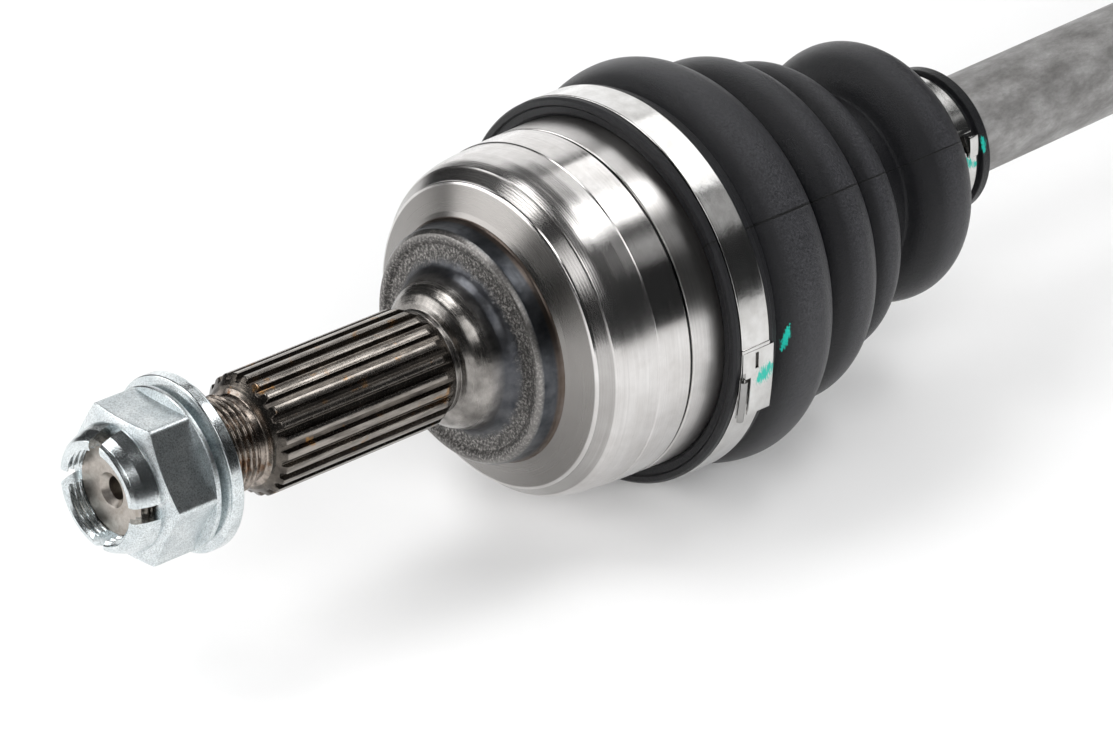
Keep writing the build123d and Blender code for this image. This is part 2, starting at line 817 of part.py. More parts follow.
write("shaft_bar", shaft_bar(), shaft_axis)
race_ring_place = -race_half_width - ring_wire_r - 0.1
write("race_snap_ring", wire_ring(race_ring_place, race_spline_r - ring_wire_r + fit_gap), shaft_axis)
write("outer_boot", outer_boot())
write("outer_clamp_large", clamp_band(clamp_start, clamp_width, clamp_inner_r, clamp_thickness))
write("outer_clamp_large_lock", clamp_lock(clamp_start, clamp_width, clamp_inner_r + clamp_thickness,
                                           lock_turn, lock_length))
small_clamp_start = boot_small_end - small_lip_width - 1.2 - small_clamp_width - joint_centre
small_seat_r = small_clamp_inner_r + small_clamp_thickness
write("outer_clamp_small", clamp_band(small_clamp_start, small_clamp_width, small_clamp_inner_r,
                                      small_clamp_thickness), shaft_axis)
write("outer_clamp_small_lock", clamp_lock(small_clamp_start, small_clamp_width, small_seat_r, small_lock_turn,
                                           small_lock_length), shaft_axis)

write("tulip_housing", tulip_housing(), inner_joint)
write("tripod_spider", tripod_spider(), inner_joint)
for index in range(trunnion_count):
    turn = Rot(trunnion_turn + index * 360 / trunnion_count, 0, 0)
    write(f"roller_{index + 1}", turn * tripod_roller(), inner_joint)
    write(f"needles_{index + 1}", turn * needle_set(), inner_joint)
    write(f"roller_retainer_{index + 1}", turn * roller_retainer(), inner_joint)
spider_ring_place = spider_half_width + 0.1 + ring_wire_r
write("spider_snap_ring", wire_ring(spider_ring_place, inner_spline_r - ring_wire_r + fit_gap), inner_joint)
write("thrust_cup", thrust_cup(), inner_joint)
write("thrust_spring", thrust_spring(), inner_joint)
write("inner_boot", inner_boot(), inner_joint)
inner_clamp_start = -inner_boot_start - 2.4 - clamp_width
write("inner_clamp_large", clamp_band(inner_clamp_start, clamp_width, inner_clamp_r, clamp_thickness), inner_joint)
write("inner_clamp_large_lock", clamp_lock(inner_clamp_start, clamp_width, inner_clamp_r + clamp_thickness,
                                           lock_turn, lock_length), inner_joint)
inner_small_start = inner_boot_end() - inner_small_length + small_lip_width + 1.2
write("inner_clamp_small", clamp_band(inner_small_start, small_clamp_width, small_clamp_inner_r,
                                      small_clamp_thickness), inner_joint)
write("inner_clamp_small_lock", clamp_lock(inner_small_start, small_clamp_width, small_seat_r, small_lock_turn,
                                           small_lock_length), inner_joint)
snap_r = gearbox_spline_r - ring_wire_r - 0.6 + fit_gap
write("gearbox_snap_ring", wire_ring(snap_groove + ring_wire_r + 0.05, snap_r), inner_joint)
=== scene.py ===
import math

import bmesh
import bpy
import numpy as np
from mathutils import Matrix, Vector


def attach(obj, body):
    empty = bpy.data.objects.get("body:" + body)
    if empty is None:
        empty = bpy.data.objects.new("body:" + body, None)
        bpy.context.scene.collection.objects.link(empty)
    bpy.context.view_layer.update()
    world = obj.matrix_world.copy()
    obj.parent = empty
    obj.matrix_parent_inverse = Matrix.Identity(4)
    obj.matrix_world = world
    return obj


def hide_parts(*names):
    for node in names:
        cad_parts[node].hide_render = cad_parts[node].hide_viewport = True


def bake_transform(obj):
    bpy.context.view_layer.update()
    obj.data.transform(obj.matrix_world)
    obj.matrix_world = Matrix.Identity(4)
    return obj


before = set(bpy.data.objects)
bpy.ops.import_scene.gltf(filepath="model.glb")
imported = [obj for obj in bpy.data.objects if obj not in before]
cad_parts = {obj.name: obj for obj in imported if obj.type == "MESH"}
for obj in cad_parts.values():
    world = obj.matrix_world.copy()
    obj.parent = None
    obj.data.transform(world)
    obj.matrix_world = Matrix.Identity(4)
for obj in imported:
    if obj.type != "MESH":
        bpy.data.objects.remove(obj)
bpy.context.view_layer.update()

# Lengths are in millimetres in each part's own axes, and angles in degrees from Z towards -Y.
MM = 0.001
REST_BEND = math.radians(2.8)
JOINT_CENTRE = 37.0
JOINT_SPAN = 400.0
STUB = Matrix.Identity(4)
SHAFT = Matrix.Translation((JOINT_CENTRE * MM, 0, 0)) @ Matrix.Rotation(REST_BEND, 4, "Z")
INNER = SHAFT @ Matrix.Translation((JOINT_SPAN * MM, 0, 0))

THREAD_PITCH = 1.5
THREAD_R = 11.0
THREAD_DEPTH = 0.9
THREAD_STEEPNESS = 1.45
STUB_END = -97.2
THREAD_END = -65.5
RELIEF_R = 9.9
SPLINE_START = -62.0
SPLINE_END = -11.5
SPLINE_R = 14.0
SPLINE_ROOT = 12.7
TEETH = 24
FLANK_FOOT = 0.345  # from a tooth's middle, in pitches
FLANK_WIDTH = 0.155

BOOT_LIP = 41.3
CLAMP_START = 43.3
CLAMP_END = 51.7
CLAMP_R = 44.9
FOLDS_START = 56.2
FOLDS_END = 141.0
BOOT_END = 157.2
NECK_R = 16.4
BAR_R = 12.5

# Each fold of the outer boot: its crest's place, its reach to each side, its crest's radius and its valleys' radii.
OUTER_FOLDS = [(65.8, (9.8, 10.2), 48.1, (42.2, 33.8)), (87.0, (8.8, 8.8), 41.9, (33.8, 28.6)),
               (102.7, (6.4, 6.6), 36.1, (28.6, 23.4)), (131.4, (10.4, 10.0), 31.9, (23.0, 17.2))]
INNER_MOUTH = -28.0
INNER_FOLD_START = -29.5
INNER_PITCH = 12.0
INNER_COUNT = 5
INNER_CREST_R = 44.4
INNER_CREST_STEP = 3.9


# Meshes

def polar(x, radius, angle):
    """Points round the X axis."""
    x, radius, angle = np.broadcast_arrays(*(np.asarray(v, float) for v in (x, radius, angle)))
    turn = np.radians(angle)
    return np.stack([x, -radius * np.sin(turn), radius * np.cos(turn)], axis=-1)


def rings(angles, stops):
    """A row of points for each (x, radius)."""
    return [polar(x, radius, angles) for x, radius in stops]


def grid(points, closed=True):
    """Quads between the rows of an array of points."""
    rows, columns = points.shape[:2]
    index = np.arange(rows * columns).reshape(rows, columns)
    if closed:
        index = np.hstack([index, index[:, :1]])
    corners = [index[:-1, :-1], index[1:, :-1], index[1:, 1:], index[:-1, 1:]]
    return points.reshape(-1, 3), np.stack(corners, axis=-1).reshape(-1, 4).tolist()


def joined(*parts):
    """Several (points, faces) as one."""
    points, faces = [], []
    for more_points, more_faces in parts:
        start = sum(len(p) for p in points)
        points.append(np.asarray(more_points))
        faces += [[start + corner for corner in face] for face in more_faces]
    return np.vstack(points), faces


def eased(share):
    """A share from 0 to 1 that starts and ends slowly."""
    return share * share * (3 - 2 * share)


CORNER_REACH = 0.45  # the share of its sides that a rounded corner may take
STRAIGHT = math.radians(89)
SUPPORT = 0.15
SPACING = 3.0


def softened(profile, radius=0.3, own=None, steps=4):
    """A profile of (x, r) with its corners rounded, and points added so that flat stretches shade flat."""
    own = own or {}
    points = [np.array(p, float) for p in profile]
    rounded = [points[0]]
    for index in range(1, len(points) - 1):
        corner = points[index]
        before, after = points[index - 1] - corner, points[index + 1] - corner
        room_before, room_after = np.linalg.norm(before), np.linalg.norm(after)
        before, after = before / room_before, after / room_after
        half = math.acos(max(-1.0, min(1.0, float(before @ after)))) / 2
        if half > STRAIGHT:
            rounded.append(corner)
            continue
        cut = min(own.get(index, radius) / math.tan(half), min(room_before, room_after) * CORNER_REACH)
        for step in range(steps + 1):
            share = step / steps
            rounded.append(corner + before * cut * (1 - share) ** 2 + after * cut * share ** 2)
    rounded.append(points[-1])
    dense = [rounded[0]]
    for start, end in zip(rounded, rounded[1:]):
        length = np.linalg.norm(end - start)
        if length > 1.0:
            stops = [SUPPORT, *np.arange(SPACING, length - 2.0, SPACING), length - SUPPORT]
            dense += [start + (end - start) * stop / length for stop in stops]
        dense.append(end)
    return np.array(dense)


def lathe(profile, columns=192, **rounding):
    """A surface of revolution about X."""
    line = softened(profile, **rounding)
    angles = np.arange(columns) * 360 / columns
    return grid(polar(line[:, :1], line[:, 1:], angles[None, :]))


def add_piece(name, shape, looks, body=None, nodes=(), place=STUB, sharp=38.0, zone=None):
    """Makes the object, ties it to its body and hides the CAD parts it stands for. Zone picks a face's look from its x,
    its radius and whether it looks outwards."""
    points, faces = shape
    mesh = bpy.data.meshes.new(name)
    mesh.from_pydata((np.asarray(points) * MM).tolist(), [], faces)
    shaped = bmesh.new()
    shaped.from_mesh(mesh)
    bmesh.ops.remove_doubles(shaped, verts=shaped.verts, dist=2e-6)
    bmesh.ops.recalc_face_normals(shaped, faces=shaped.faces)
    if zone:
        for face in shaped.faces:
            middle, normal = face.calc_center_median() / MM, face.normal
            outward = normal.y * middle.y + normal.z * middle.z
            face.material_index = int(zone(middle.x, math.hypot(middle.y, middle.z), outward))
    shaped.to_mesh(mesh)
    shaped.free()
    mesh.shade_smooth()
    mesh.set_sharp_from_angle(angle=math.radians(sharp))
    for look in looks:
        mesh.materials.append(look.material)
    piece = bpy.data.objects.new(name, mesh)
    bpy.context.scene.collection.objects.link(piece)
    piece.matrix_world = place
    if body:
        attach(piece, body)
    if nodes:
        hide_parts(*nodes)
    return piece


def plate(us, vs, spot, thickness, hole=None, bevel=0.12):
    """A bent plate over the cells of us and vs: its inner face is spot(u, v), and its edges are softened."""
    cells = np.array([(u, v) for u in us for v in vs], float)
    flat, faces = grid(np.array([spot(u, v) for u, v in cells]).reshape(len(us), len(vs), 3), closed=False)
    if hole:
        faces = [face for face in faces if not hole(*cells[face].mean(axis=0))]
    mesh = bpy.data.meshes.new("plate")
    mesh.from_pydata((flat * MM).tolist(), [], faces)
    holder = bpy.data.objects.new("plate", mesh)
    bpy.context.scene.collection.objects.link(holder)
    thick = holder.modifiers.new("thick", "SOLIDIFY")
    thick.thickness = thickness * MM
    thick.offset = 1.0
    soft = holder.modifiers.new("soft", "BEVEL")
    soft.width = bevel * MM
    soft.segments = 2
    soft.limit_method = "ANGLE"
    soft.angle_limit = math.radians(40)
    bpy.context.view_layer.update()
    result = bpy.data.meshes.new_from_object(holder.evaluated_get(bpy.context.evaluated_depsgraph_get()))
    shape = np.array([v.co for v in result.vertices]) / MM, [list(p.vertices) for p in result.polygons]
    bpy.data.objects.remove(holder)
    bpy.data.meshes.remove(result)
    return shape


def bent_round(radius):
    """The inner face of a plate that follows a band of that radius: u is along X, v is the angle."""
    return lambda u, v: polar(u, radius, v)


def steps_between(start, end, size):
    """Even stops from start to end, about size apart."""
    return np.linspace(start, end, max(2, int(round(abs(end - start) / size)) + 1))


def thread(x, angle):
    """The height of the hub thread there, from 0 at its root to 1 at its crest."""
    turn = (x / THREAD_PITCH + angle / 360) % 1
    return np.clip(0.5 + (np.abs(turn * 2 - 1) - 0.5) * THREAD_STEEPNESS, 0, 1)


# Materials

PAINT = (0.0, 0.34, 0.27)


class Look:
    """One procedural material. Its textures read the piece's own coordinates, in millimetres."""

    def __init__(self, name, metallic=1.0):
        self.material = bpy.data.materials.new(name)
        self.material.use_nodes = True
        self.tree = self.material.node_tree
        self.shader = next(n for n in self.tree.nodes if n.type == "BSDF_PRINCIPLED")
        self.set("Metallic", metallic)
        coords = self.add("ShaderNodeTexCoord").outputs["Object"]
        self.place = self.vector("SCALE", coords, scale=1 / MM)
        self.x, self.y, self.z = self.add("ShaderNodeSeparateXYZ", [self.place]).outputs
        self.radius = self.diagonal(self.y, self.z)
        self.angle = self.times(self.math("ARCTAN2", self.times(self.y, -1), self.z), 180 / math.pi)

    def feed(self, socket, value):
        if isinstance(value, bpy.types.NodeSocket):
            self.tree.links.new(value, socket)
        elif value is not None:
            socket.default_value = (*value, 1) if socket.type == "RGBA" else value

    def add(self, kind, values=(), **settings):
        node = self.tree.nodes.new(kind)
        for key, value in settings.items():
            setattr(node, key, value)
        for socket, value in zip(node.inputs, values):
            self.feed(socket, value)
        return node

    def set(self, socket, value):
        self.feed(self.shader.inputs[socket], value)

    def math(self, operation, *values, clamp=False):
        return self.add("ShaderNodeMath", values, operation=operation, use_clamp=clamp).outputs[0]

    def times(self, first, second):
        return self.math("MULTIPLY", first, second)

    def plus(self, first, second):
        return self.math("ADD", first, second)

    def minus(self, first, second):
        return self.math("SUBTRACT", first, second)

    def rise(self, value, start, width):
        """0 up to start, then straight up to 1 over width."""
        return self.math("DIVIDE", self.minus(value, start), width, clamp=True)

    def diagonal(self, first, second):
        return self.math("SQRT", self.plus(self.math("POWER", first, 2), self.math("POWER", second, 2)))

    def vector(self, operation, first, second=None, scale=None):
        node = self.add("ShaderNodeVectorMath", [first], operation=operation)
        self.feed(node.inputs[1], second)
        if scale is not None:
            node.inputs["Scale"].default_value = scale
        return node.outputs["Value" if operation == "LENGTH" else "Vector"]

    def noise(self, scale, detail=3.0, roughness=0.55, stretch=None, where=None):
        spot = where or self.place
        if stretch:
            spot = self.vector("MULTIPLY", spot, stretch)
        node = self.add("ShaderNodeTexNoise")
        for socket, value in (("Vector", spot), ("Scale", scale), ("Detail", detail), ("Roughness", roughness)):
            self.feed(node.inputs[socket], value)
        return node.outputs[0]

    def ramp(self, share, *stops):
        node = self.add("ShaderNodeValToRGB", [share])
        elements = node.color_ramp.elements
        while len(elements) < len(stops):
            elements.new(0.5)
        for element, (place, color) in zip(elements, stops):
            element.position = place
            element.color = (*(color if isinstance(color, tuple) else (color,) * 3), 1)
        return node.outputs[0]

    def mix(self, share, first, second, kind="MIX"):
        node = self.add("ShaderNodeMix", data_type="RGBA", blend_type=kind)
        for index, value in ((0, share), (6, first), (7, second)):
            self.feed(node.inputs[index], value)
        return node.outputs[2]

    def tint(self, tone, share, amount, color):
        """The tone, moved towards a colour by share times amount."""
        return self.mix(self.times(share, amount), tone, color)

    def band(self, value, low, high, soft):
        """1 between low and high, fading to 0 over soft."""
        fall = self.math("DIVIDE", self.minus(high + soft, value), soft, clamp=True)
        return self.times(self.rise(value, low - soft, soft), fall)

    def line_through(self, value, points):
        """The height, at value, of the line that runs through the points (x, height)."""
        low, high = points[0][0], points[-1][0]
        top = max(height for _, height in points)
        share = self.rise(value, low, high - low)
        stops = [((x - low) / (high - low), height / top) for x, height in points]
        return self.times(self.ramp(share, *stops), top)

    def bump(self, height, strength, depth, normal=None):
        node = self.add("ShaderNodeBump")
        node.inputs["Strength"].default_value = strength
        node.inputs["Distance"].default_value = depth * MM
        self.feed(node.inputs["Height"], height)
        if normal:
            self.feed(node.inputs["Normal"], normal)
        return node.outputs[0]

    def turning(self, scale, wander=0.015):
        """Noise that runs round the axis in fine lines, as a lathe tool leaves."""
        where = self.add("ShaderNodeCombineXYZ", [self.x, self.radius, self.times(self.angle, wander)])
        return self.noise(scale, detail=2.0, where=where.outputs[0])

    def turned_sheen(self, amount):
        """Highlights drawn out across the turning lines."""
        self.set("Anisotropic", amount)
        self.set("Anisotropic Rotation", 0.25)
        tangent = self.add("ShaderNodeTangent", direction_type="RADIAL", axis="X")
        self.feed(self.shader.inputs["Tangent"], tangent.outputs[0])

    def coat(self, color, rough, normal):
        for socket, value in (("Base Color", color), ("Roughness", rough), ("Normal", normal)):
            self.set(socket, value)
        return self

    def painted(self, spots):
        """A dab of marking paint: the base colour, roughness and metal give way near the spots (x, y, z, radius)."""
        if not spots:
            return self
        nearest = None
        for x, y, z, radius in spots:
            reach = self.vector("LENGTH", self.vector("SUBTRACT", self.place, (x, y, z)))
            reach = self.math("DIVIDE", reach, radius)
            nearest = reach if nearest is None else self.math("MINIMUM", nearest, reach)
        ragged = self.noise(1.7, detail=4.0, roughness=0.65, stretch=(2.6, 1.0, 0.4))
        edge = self.plus(nearest, self.times(self.minus(ragged, 0.5), 3.0))
        mask = self.ramp(edge, (0.0, 1.0), (0.62, 1.0), (0.98, 0.0))
        self.set("Base Color", self.mix(mask, self.shader.inputs["Base Color"].links[0].from_socket, PAINT))
        for socket, value in (("Roughness", 0.42), ("Metallic", 0.0)):
            found = self.shader.inputs[socket]
            old = found.links[0].from_socket if found.is_linked else found.default_value
            keep = self.times(old, self.minus(1.0, mask))
            self.set(socket, self.plus(keep, self.times(mask, value)))
        return self


def zinc_look(name, rough, grain, dark=1.0):
    """Bright zinc plating: bluish, cloudy and finely grained."""
    look = Look(name)
    cloud = look.noise(0.22, detail=5.0)
    low = tuple(c * dark for c in (0.62, 0.675, 0.695))
    high = tuple(c * dark for c in (0.87, 0.915, 0.925))
    speck = look.noise(3.0, detail=4.0, roughness=0.8)
    tone = look.ramp(cloud, (0.3, low), (0.68, high))
    shade = look.ramp(speck, (0.38, 0.5), (0.56, 1.0))
    return look.coat(look.mix(1.0, tone, shade, "MULTIPLY"), look.math("MULTIPLY_ADD", speck, 0.22, rough),
                     look.bump(speck, grain, 0.05))


def steel_look(name, tones, cloud=0.3, rough=(0.3, 0.5), grain=(2.0, 0.3, 0.08), lines=0.0, sheen=0.0, stretch=None,
               stains=None, metallic=1.0):
    """Bare steel: mottled tones, a grained or turned skin, and stains of another colour."""
    look = Look(name, metallic)
    cloudy = look.noise(cloud, detail=7.0, roughness=0.62, stretch=stretch)
    tone = look.ramp(cloudy, *tones)
    if stains:
        color, scale, start = stains
        where = look.ramp(look.noise(scale, detail=5.0, roughness=0.65), (start, 0.0), (start + 0.12, 1.0))
        tone = look.mix(where, tone, color)
    grained = look.noise(grain[0], detail=5.0, roughness=0.6, stretch=stretch)
    fine = look.ramp(grained, (0.3, 0.78), (0.7, 1.0))
    skin = look.bump(grained, grain[1], grain[2])
    spread = look.math("MULTIPLY_ADD", grained, rough[1] - rough[0], rough[0])
    if lines:
        cut = look.turning(5.0)
        skin = look.bump(cut, lines, 0.012, skin)
        spread = look.plus(spread, look.times(look.minus(cut, 0.5), 0.22))
    if sheen:
        look.turned_sheen(sheen)
    return look.coat(look.mix(1.0, tone, fine, "MULTIPLY"), spread, skin)


zinc_hex = zinc_look("zinc_hex", 0.2, 0.9)
zinc_crown = zinc_look("zinc_crown", 0.12, 0.1)
zinc_washer = zinc_look("zinc_washer", 0.10, 0.08)

thread_steel = steel_look("thread_steel", [(0.3, (0.06, 0.05, 0.043)), (0.62, (0.46, 0.40, 0.35))], 0.35, (0.16, 0.34),
                          (3.0, 0.25, 0.05), stains=((0.24, 0.13, 0.07), 0.25, 0.56))
end_face = steel_look("stub_end_face", [(0.3, (0.36, 0.32, 0.28)), (0.7, (0.56, 0.52, 0.48))], 0.5, (0.28, 0.42),
                      (3.0, 0.2, 0.04), lines=0.5)
inside_steel = steel_look("ground_inside", [(0.3, (0.30, 0.29, 0.28)), (0.7, (0.46, 0.45, 0.44))], 0.2, (0.22, 0.36),
                          (2.0, 0.2, 0.04))


def spline_look():
    """Dark rolled teeth with bright tips, partly wear and partly a painted highlight, brown film and ochre stains."""
    look = Look("spline_steel")
    film = look.noise(0.35, detail=6.0, roughness=0.65, stretch=(0.35, 1.0, 1.0))
    tone = look.ramp(film, (0.34, (0.045, 0.04, 0.036)), (0.6, (0.13, 0.115, 0.10)), (0.78, (0.26, 0.225, 0.19)))
    # The tips are lighter: wear, and partly a painted highlight along the tooth edges.
    tip = look.rise(look.radius, SPLINE_R - 0.28, 0.22)
    sheen_and_wear = look.noise(0.8, detail=5.0, roughness=0.6, stretch=(0.15, 1.0, 1.0))
    sheen_and_wear = look.ramp(sheen_and_wear, (0.36, 0.25), (0.62, 1.0))
    tone = look.tint(tone, tip, sheen_and_wear, (0.36, 0.33, 0.30))
    stain = look.ramp(look.noise(0.18, detail=5.0), (0.62, 0.0), (0.70, 1.0))
    tone = look.tint(tone, stain, 0.7, (0.33, 0.17, 0.05))
    chatter = look.noise(1.0, detail=3.0, stretch=(4.5, 0.4, 0.4))
    grained = look.noise(3.0, detail=4.0)
    return look.coat(tone, look.math("MULTIPLY_ADD", grained, 0.24, 0.12),
                     look.bump(chatter, 0.45, 0.06, look.bump(grained, 0.3, 0.06)))


def boss_look():
    """The boss, outwards from the axis: a turned bulb, a blued dish, a scaly forged band and a heat-tinted side."""
    look = Look("boss_steel")
    uneven = look.noise(0.35, detail=5.0, roughness=0.7)
    reach = look.plus(look.radius, look.times(look.minus(uneven, 0.5), 4.2))
    scale = look.noise(1.5, detail=6.0, roughness=0.75)
    cloud = look.noise(0.22, detail=5.0)
    cut = look.turning(2.6)
    bulb = look.ramp(cloud, (0.35, (0.17, 0.16, 0.15)), (0.7, (0.38, 0.36, 0.34)))
    dished = look.ramp(cloud, (0.35, (0.055, 0.058, 0.066)), (0.7, (0.13, 0.132, 0.14)))
    forged = look.ramp(scale, (0.36, (0.05, 0.048, 0.047)), (0.5, (0.13, 0.125, 0.12)), (0.62, (0.46, 0.44, 0.42)))
    side = look.ramp(cloud, (0.3, (0.032, 0.035, 0.041)), (0.7, (0.115, 0.12, 0.13)))
    rim = look.band(look.radius, 26.3, 27.5, 0.7)
    forged = look.tint(forged, rim, 0.55, (0.27, 0.26, 0.25))
    side = look.tint(side, look.band(look.x, 4.9, 6.0, 0.7), 0.5, (0.17, 0.12, 0.085))
    in_dish = look.rise(look.radius, 17.0, 1.2)
    in_scale = look.rise(reach, 19.8, 1.6)
    on_side = look.rise(look.x, 0.6, 0.7)
    on_side = look.times(on_side, look.math("GREATER_THAN", look.radius, 26.0))
    tone = look.mix(in_scale, look.mix(in_dish, bulb, dished), forged)
    scaly = look.times(in_scale, look.minus(1.0, look.math("MAXIMUM", on_side, rim)))
    smooth = look.math("MULTIPLY_ADD", cut, 0.2, 0.16)
    spread = look.plus(smooth, look.times(in_dish, 0.10))
    spread = look.plus(spread, look.times(scaly, 0.12))
    turned = look.bump(cut, 0.35, 0.03)
    pitted = look.bump(look.times(scale, scaly), 0.9, 0.3, turned)
    look.turned_sheen(0.3)
    return look.coat(look.mix(on_side, tone, side), spread, look.bump(look.noise(0.12), 0.5, 0.5, pitted))


def bell_look():
    """The turned bell: each band of it has its own finish, cut one after the other along the axis."""
    look = Look("bell_steel")
    wander = look.noise(0.8, detail=3.0)
    feed = 0.5      # how far the lathe tool moved in each turn
    phase = look.math("MULTIPLY_ADD", look.x, 2 * math.pi / feed, look.times(wander, 5.0))
    lines = look.math("MULTIPLY_ADD", look.math("SINE", phase), 0.5, 0.5)
    fine = look.turning(3.5, 0.006)
    chamfer = look.band(look.x, 9.5, 12.1, 0.1)
    body = look.band(look.x, 12.2, 23.5, 0.1)
    plain = look.math("GREATER_THAN", look.x, 33.1)
    groove = look.band(look.x, 32.4, 33.0, 0.12)
    cloud = look.noise(0.16, detail=6.0, roughness=0.65)
    tone = look.ramp(cloud, (0.3, (0.60, 0.58, 0.565)), (0.7, (0.74, 0.725, 0.715)))
    tone = look.tint(tone, chamfer, 0.55, (0.22, 0.21, 0.20))
    streak = look.ramp(fine, (0.3, 0.88), (0.65, 1.0))
    tone = look.mix(1.0, tone, streak, "MULTIPLY")
    # Painted shade: the narrow groove is painted near black.
    tone = look.mix(groove, tone, (0.05, 0.05, 0.05))
    cone = look.band(look.x, 5.7, 8.75, 0.12)
    cone = look.times(cone, look.math("GREATER_THAN", look.radius, 28.7))
    tone = look.tint(tone, cone, 0.9, (0.21, 0.20, 0.19))
    tone = look.tint(tone, look.band(look.x, 39.6, 45.0, 2.4), 0.5, (0.16, 0.155, 0.15))
    rough = look.math("MULTIPLY_ADD", fine, 0.10, 0.13)
    for zone, more in ((plain, 0.12), (body, 0.07), (cone, 0.08), (chamfer, 0.07)):
        rough = look.plus(rough, look.times(zone, more))
    lined = look.bump(look.times(lines, look.plus(body, chamfer)), 0.6, 0.012)
    look.turned_sheen(0.7)
    return look.coat(tone, rough, look.bump(fine, 0.5, 0.012, lined))


def rubber_look(name, crests, drift=(), spots=()):
    """Moulded black rubber: fine matt grain, a painted sheen on its crests and a mould line. Crests are (x, radius),
    and drift is how far the boot's middle lies off the axis, as (x, y)."""
    look = Look(name, 0.0)
    look.set("Specular IOR Level", 0.38)
    grained = look.noise(2.0, detail=6.0, roughness=0.75)
    cloud = look.noise(0.05, detail=5.0)
    tone = look.ramp(cloud, (0.3, (0.0036, 0.0037, 0.0047)), (0.7, (0.0062, 0.0063, 0.0075)))
    dust = look.ramp(grained, (0.52, 0.0), (0.78, 0.5))
    tone = look.mix(dust, tone, (0.018, 0.018, 0.021))
    side = look.minus(look.y, look.line_through(look.x, drift)) if drift else look.y
    from_crest = look.minus(look.diagonal(side, look.z), look.line_through(look.x, crests))
    # Painted sheen: the skin is lighter, in a grainy way, near each fold's crest, standing in for its highlight.
    sheen_and_wear = look.rise(from_crest, -2.2, 2.0)
    tone = look.tint(tone, sheen_and_wear, look.ramp(grained, (0.38, 0.08), (0.68, 0.85)), (0.048, 0.048, 0.053))
    seam = look.band(look.angle, 55.1, 55.6, 0.2)
    tone = look.tint(tone, seam, 0.9, (0.001, 0.001, 0.001))
    look.coat(tone, look.math("MULTIPLY_ADD", grained, 0.3, 0.2),
              look.bump(grained, 0.85, 0.26, look.bump(seam, 1.0, 0.3)))
    return look.painted(spots)


def clamp_look(name, spots=(), painted_recess_shade=()):
    """Polished stainless band with fine lengthwise scratches, and painted shade over each recess (x, x, angle, angle,
    how much).
    """
    look = Look(name)
    scratch = look.turning(7.0, 0.004)
    cloud = look.noise(0.3, detail=4.0)
    tone = look.ramp(cloud, (0.3, (0.54, 0.53, 0.515)), (0.7, (0.68, 0.675, 0.665)))
    for low, high, first, last, depth in painted_recess_shade:
        # Painted shade: the base colour is darkened in each listed recess, where shade falls.
        shade = look.times(look.band(look.x, low, high, 0.15), look.band(look.angle, first, last, 0.3))
        tone = look.tint(tone, shade, depth, (0.03, 0.028, 0.026))
    look.coat(tone, look.math("MULTIPLY_ADD", scratch, 0.16, 0.09),
              look.bump(look.noise(0.35, detail=2.0), 0.25, 0.1, look.bump(scratch, 0.25, 0.01)))
    return look.painted(spots)


boss_steel = boss_look()
bell_steel = bell_look()
spline_steel = spline_look()


def crest_line(crests, low, high):
    """The line over the crests, level from low to the first and from the last to high."""
    return [(low, crests[0][1]), *crests, (high, crests[-1][1])]


OUTER_CRESTS = [(place, crest_r) for place, _, crest_r, _ in OUTER_FOLDS]
OUTER_DRIFT = [(55.0, 0.0), (80.0, 0.5), (100.0, 1.7), (120.0, 3.5), (141.0, 5.1), (158.0, 5.9)]
INNER_CRESTS = [(INNER_FOLD_START - INNER_PITCH * (index + 0.5), INNER_CREST_R - INNER_CREST_STEP * index)
                for index in reversed(range(INNER_COUNT))]
rubber = rubber_look("boot_rubber_grain", crest_line(OUTER_CRESTS, 55.0, 158.0), OUTER_DRIFT, [
    (57.9, -45.8, 3.4, 0.4), (57.8, -45.7, 2.6, 0.55), (57.7, -45.5, 1.8, 0.7), (57.6, -45.4, 1.0, 0.8),
    (57.5, -45.3, 0.2, 0.9), (57.3, -45.1, -0.6, 0.9), (57.1, -45.0, -1.4, 0.9), (56.9, -44.8, -2.2, 0.8),
    (56.7, -44.6, -3.0, 0.6), (52.6, -45.5, -1.8, 0.6), (52.5, -45.4, -2.6, 0.7), (52.4, -45.4, -3.4, 0.6),
    (155.7, -11.2, 6.3, 0.7), (155.5, -11.5, 5.5, 0.9), (155.4, -11.9, 4.6, 0.9), (155.6, -12.1, 3.8, 0.7)])
inner_rubber = rubber_look("inner_boot_rubber", crest_line(INNER_CRESTS, -110.0, 0.0))
clamp_steel = clamp_look("clamp_band_steel")
# The last tuples are painted shade: over the large lock's hook, in the outer band's slot and the gap beside the hook,
# and in the small clamp's gap between its web and ear.
lock_steel = clamp_look("clamp_lock_steel", [
    (51.8, -46.9, -4.9, 1.5), (51.0, -46.8, -5.4, 2.0), (50.2, -46.8, -5.9, 2.3), (49.4, -46.8, -6.3, 2.2),
    (48.6, -46.8, -6.7, 1.7)], [(41.8, 44.2, 95.0, 112.0, 0.5)])
outer_band_steel = clamp_look("clamp_outer_band_steel", painted_recess_shade=[
    (47.2, 48.2, 90.0, 95.2, 0.95), (44.0, 46.2, 97.0, 109.0, 0.95)])
small_clamp_steel = clamp_look("small_clamp_steel", [
    (111.6, -17.6, 2.4, 1.3), (113.2, -17.7, 1.8, 1.4), (114.8, -17.6, 1.0, 1.0)], [(111.2, 112.6, 62.0, 75.0, 0.93)])
bar_steel = steel_look("bar_steel_skin", [(0.34, (0.17, 0.165, 0.16)), (0.5, (0.26, 0.255, 0.25)),
                                          (0.66, (0.38, 0.375, 0.37))], 0.16, (0.42, 0.6), (1.4, 0.7, 0.2),
                       stretch=(0.5, 1.0, 1.0), metallic=0.5)
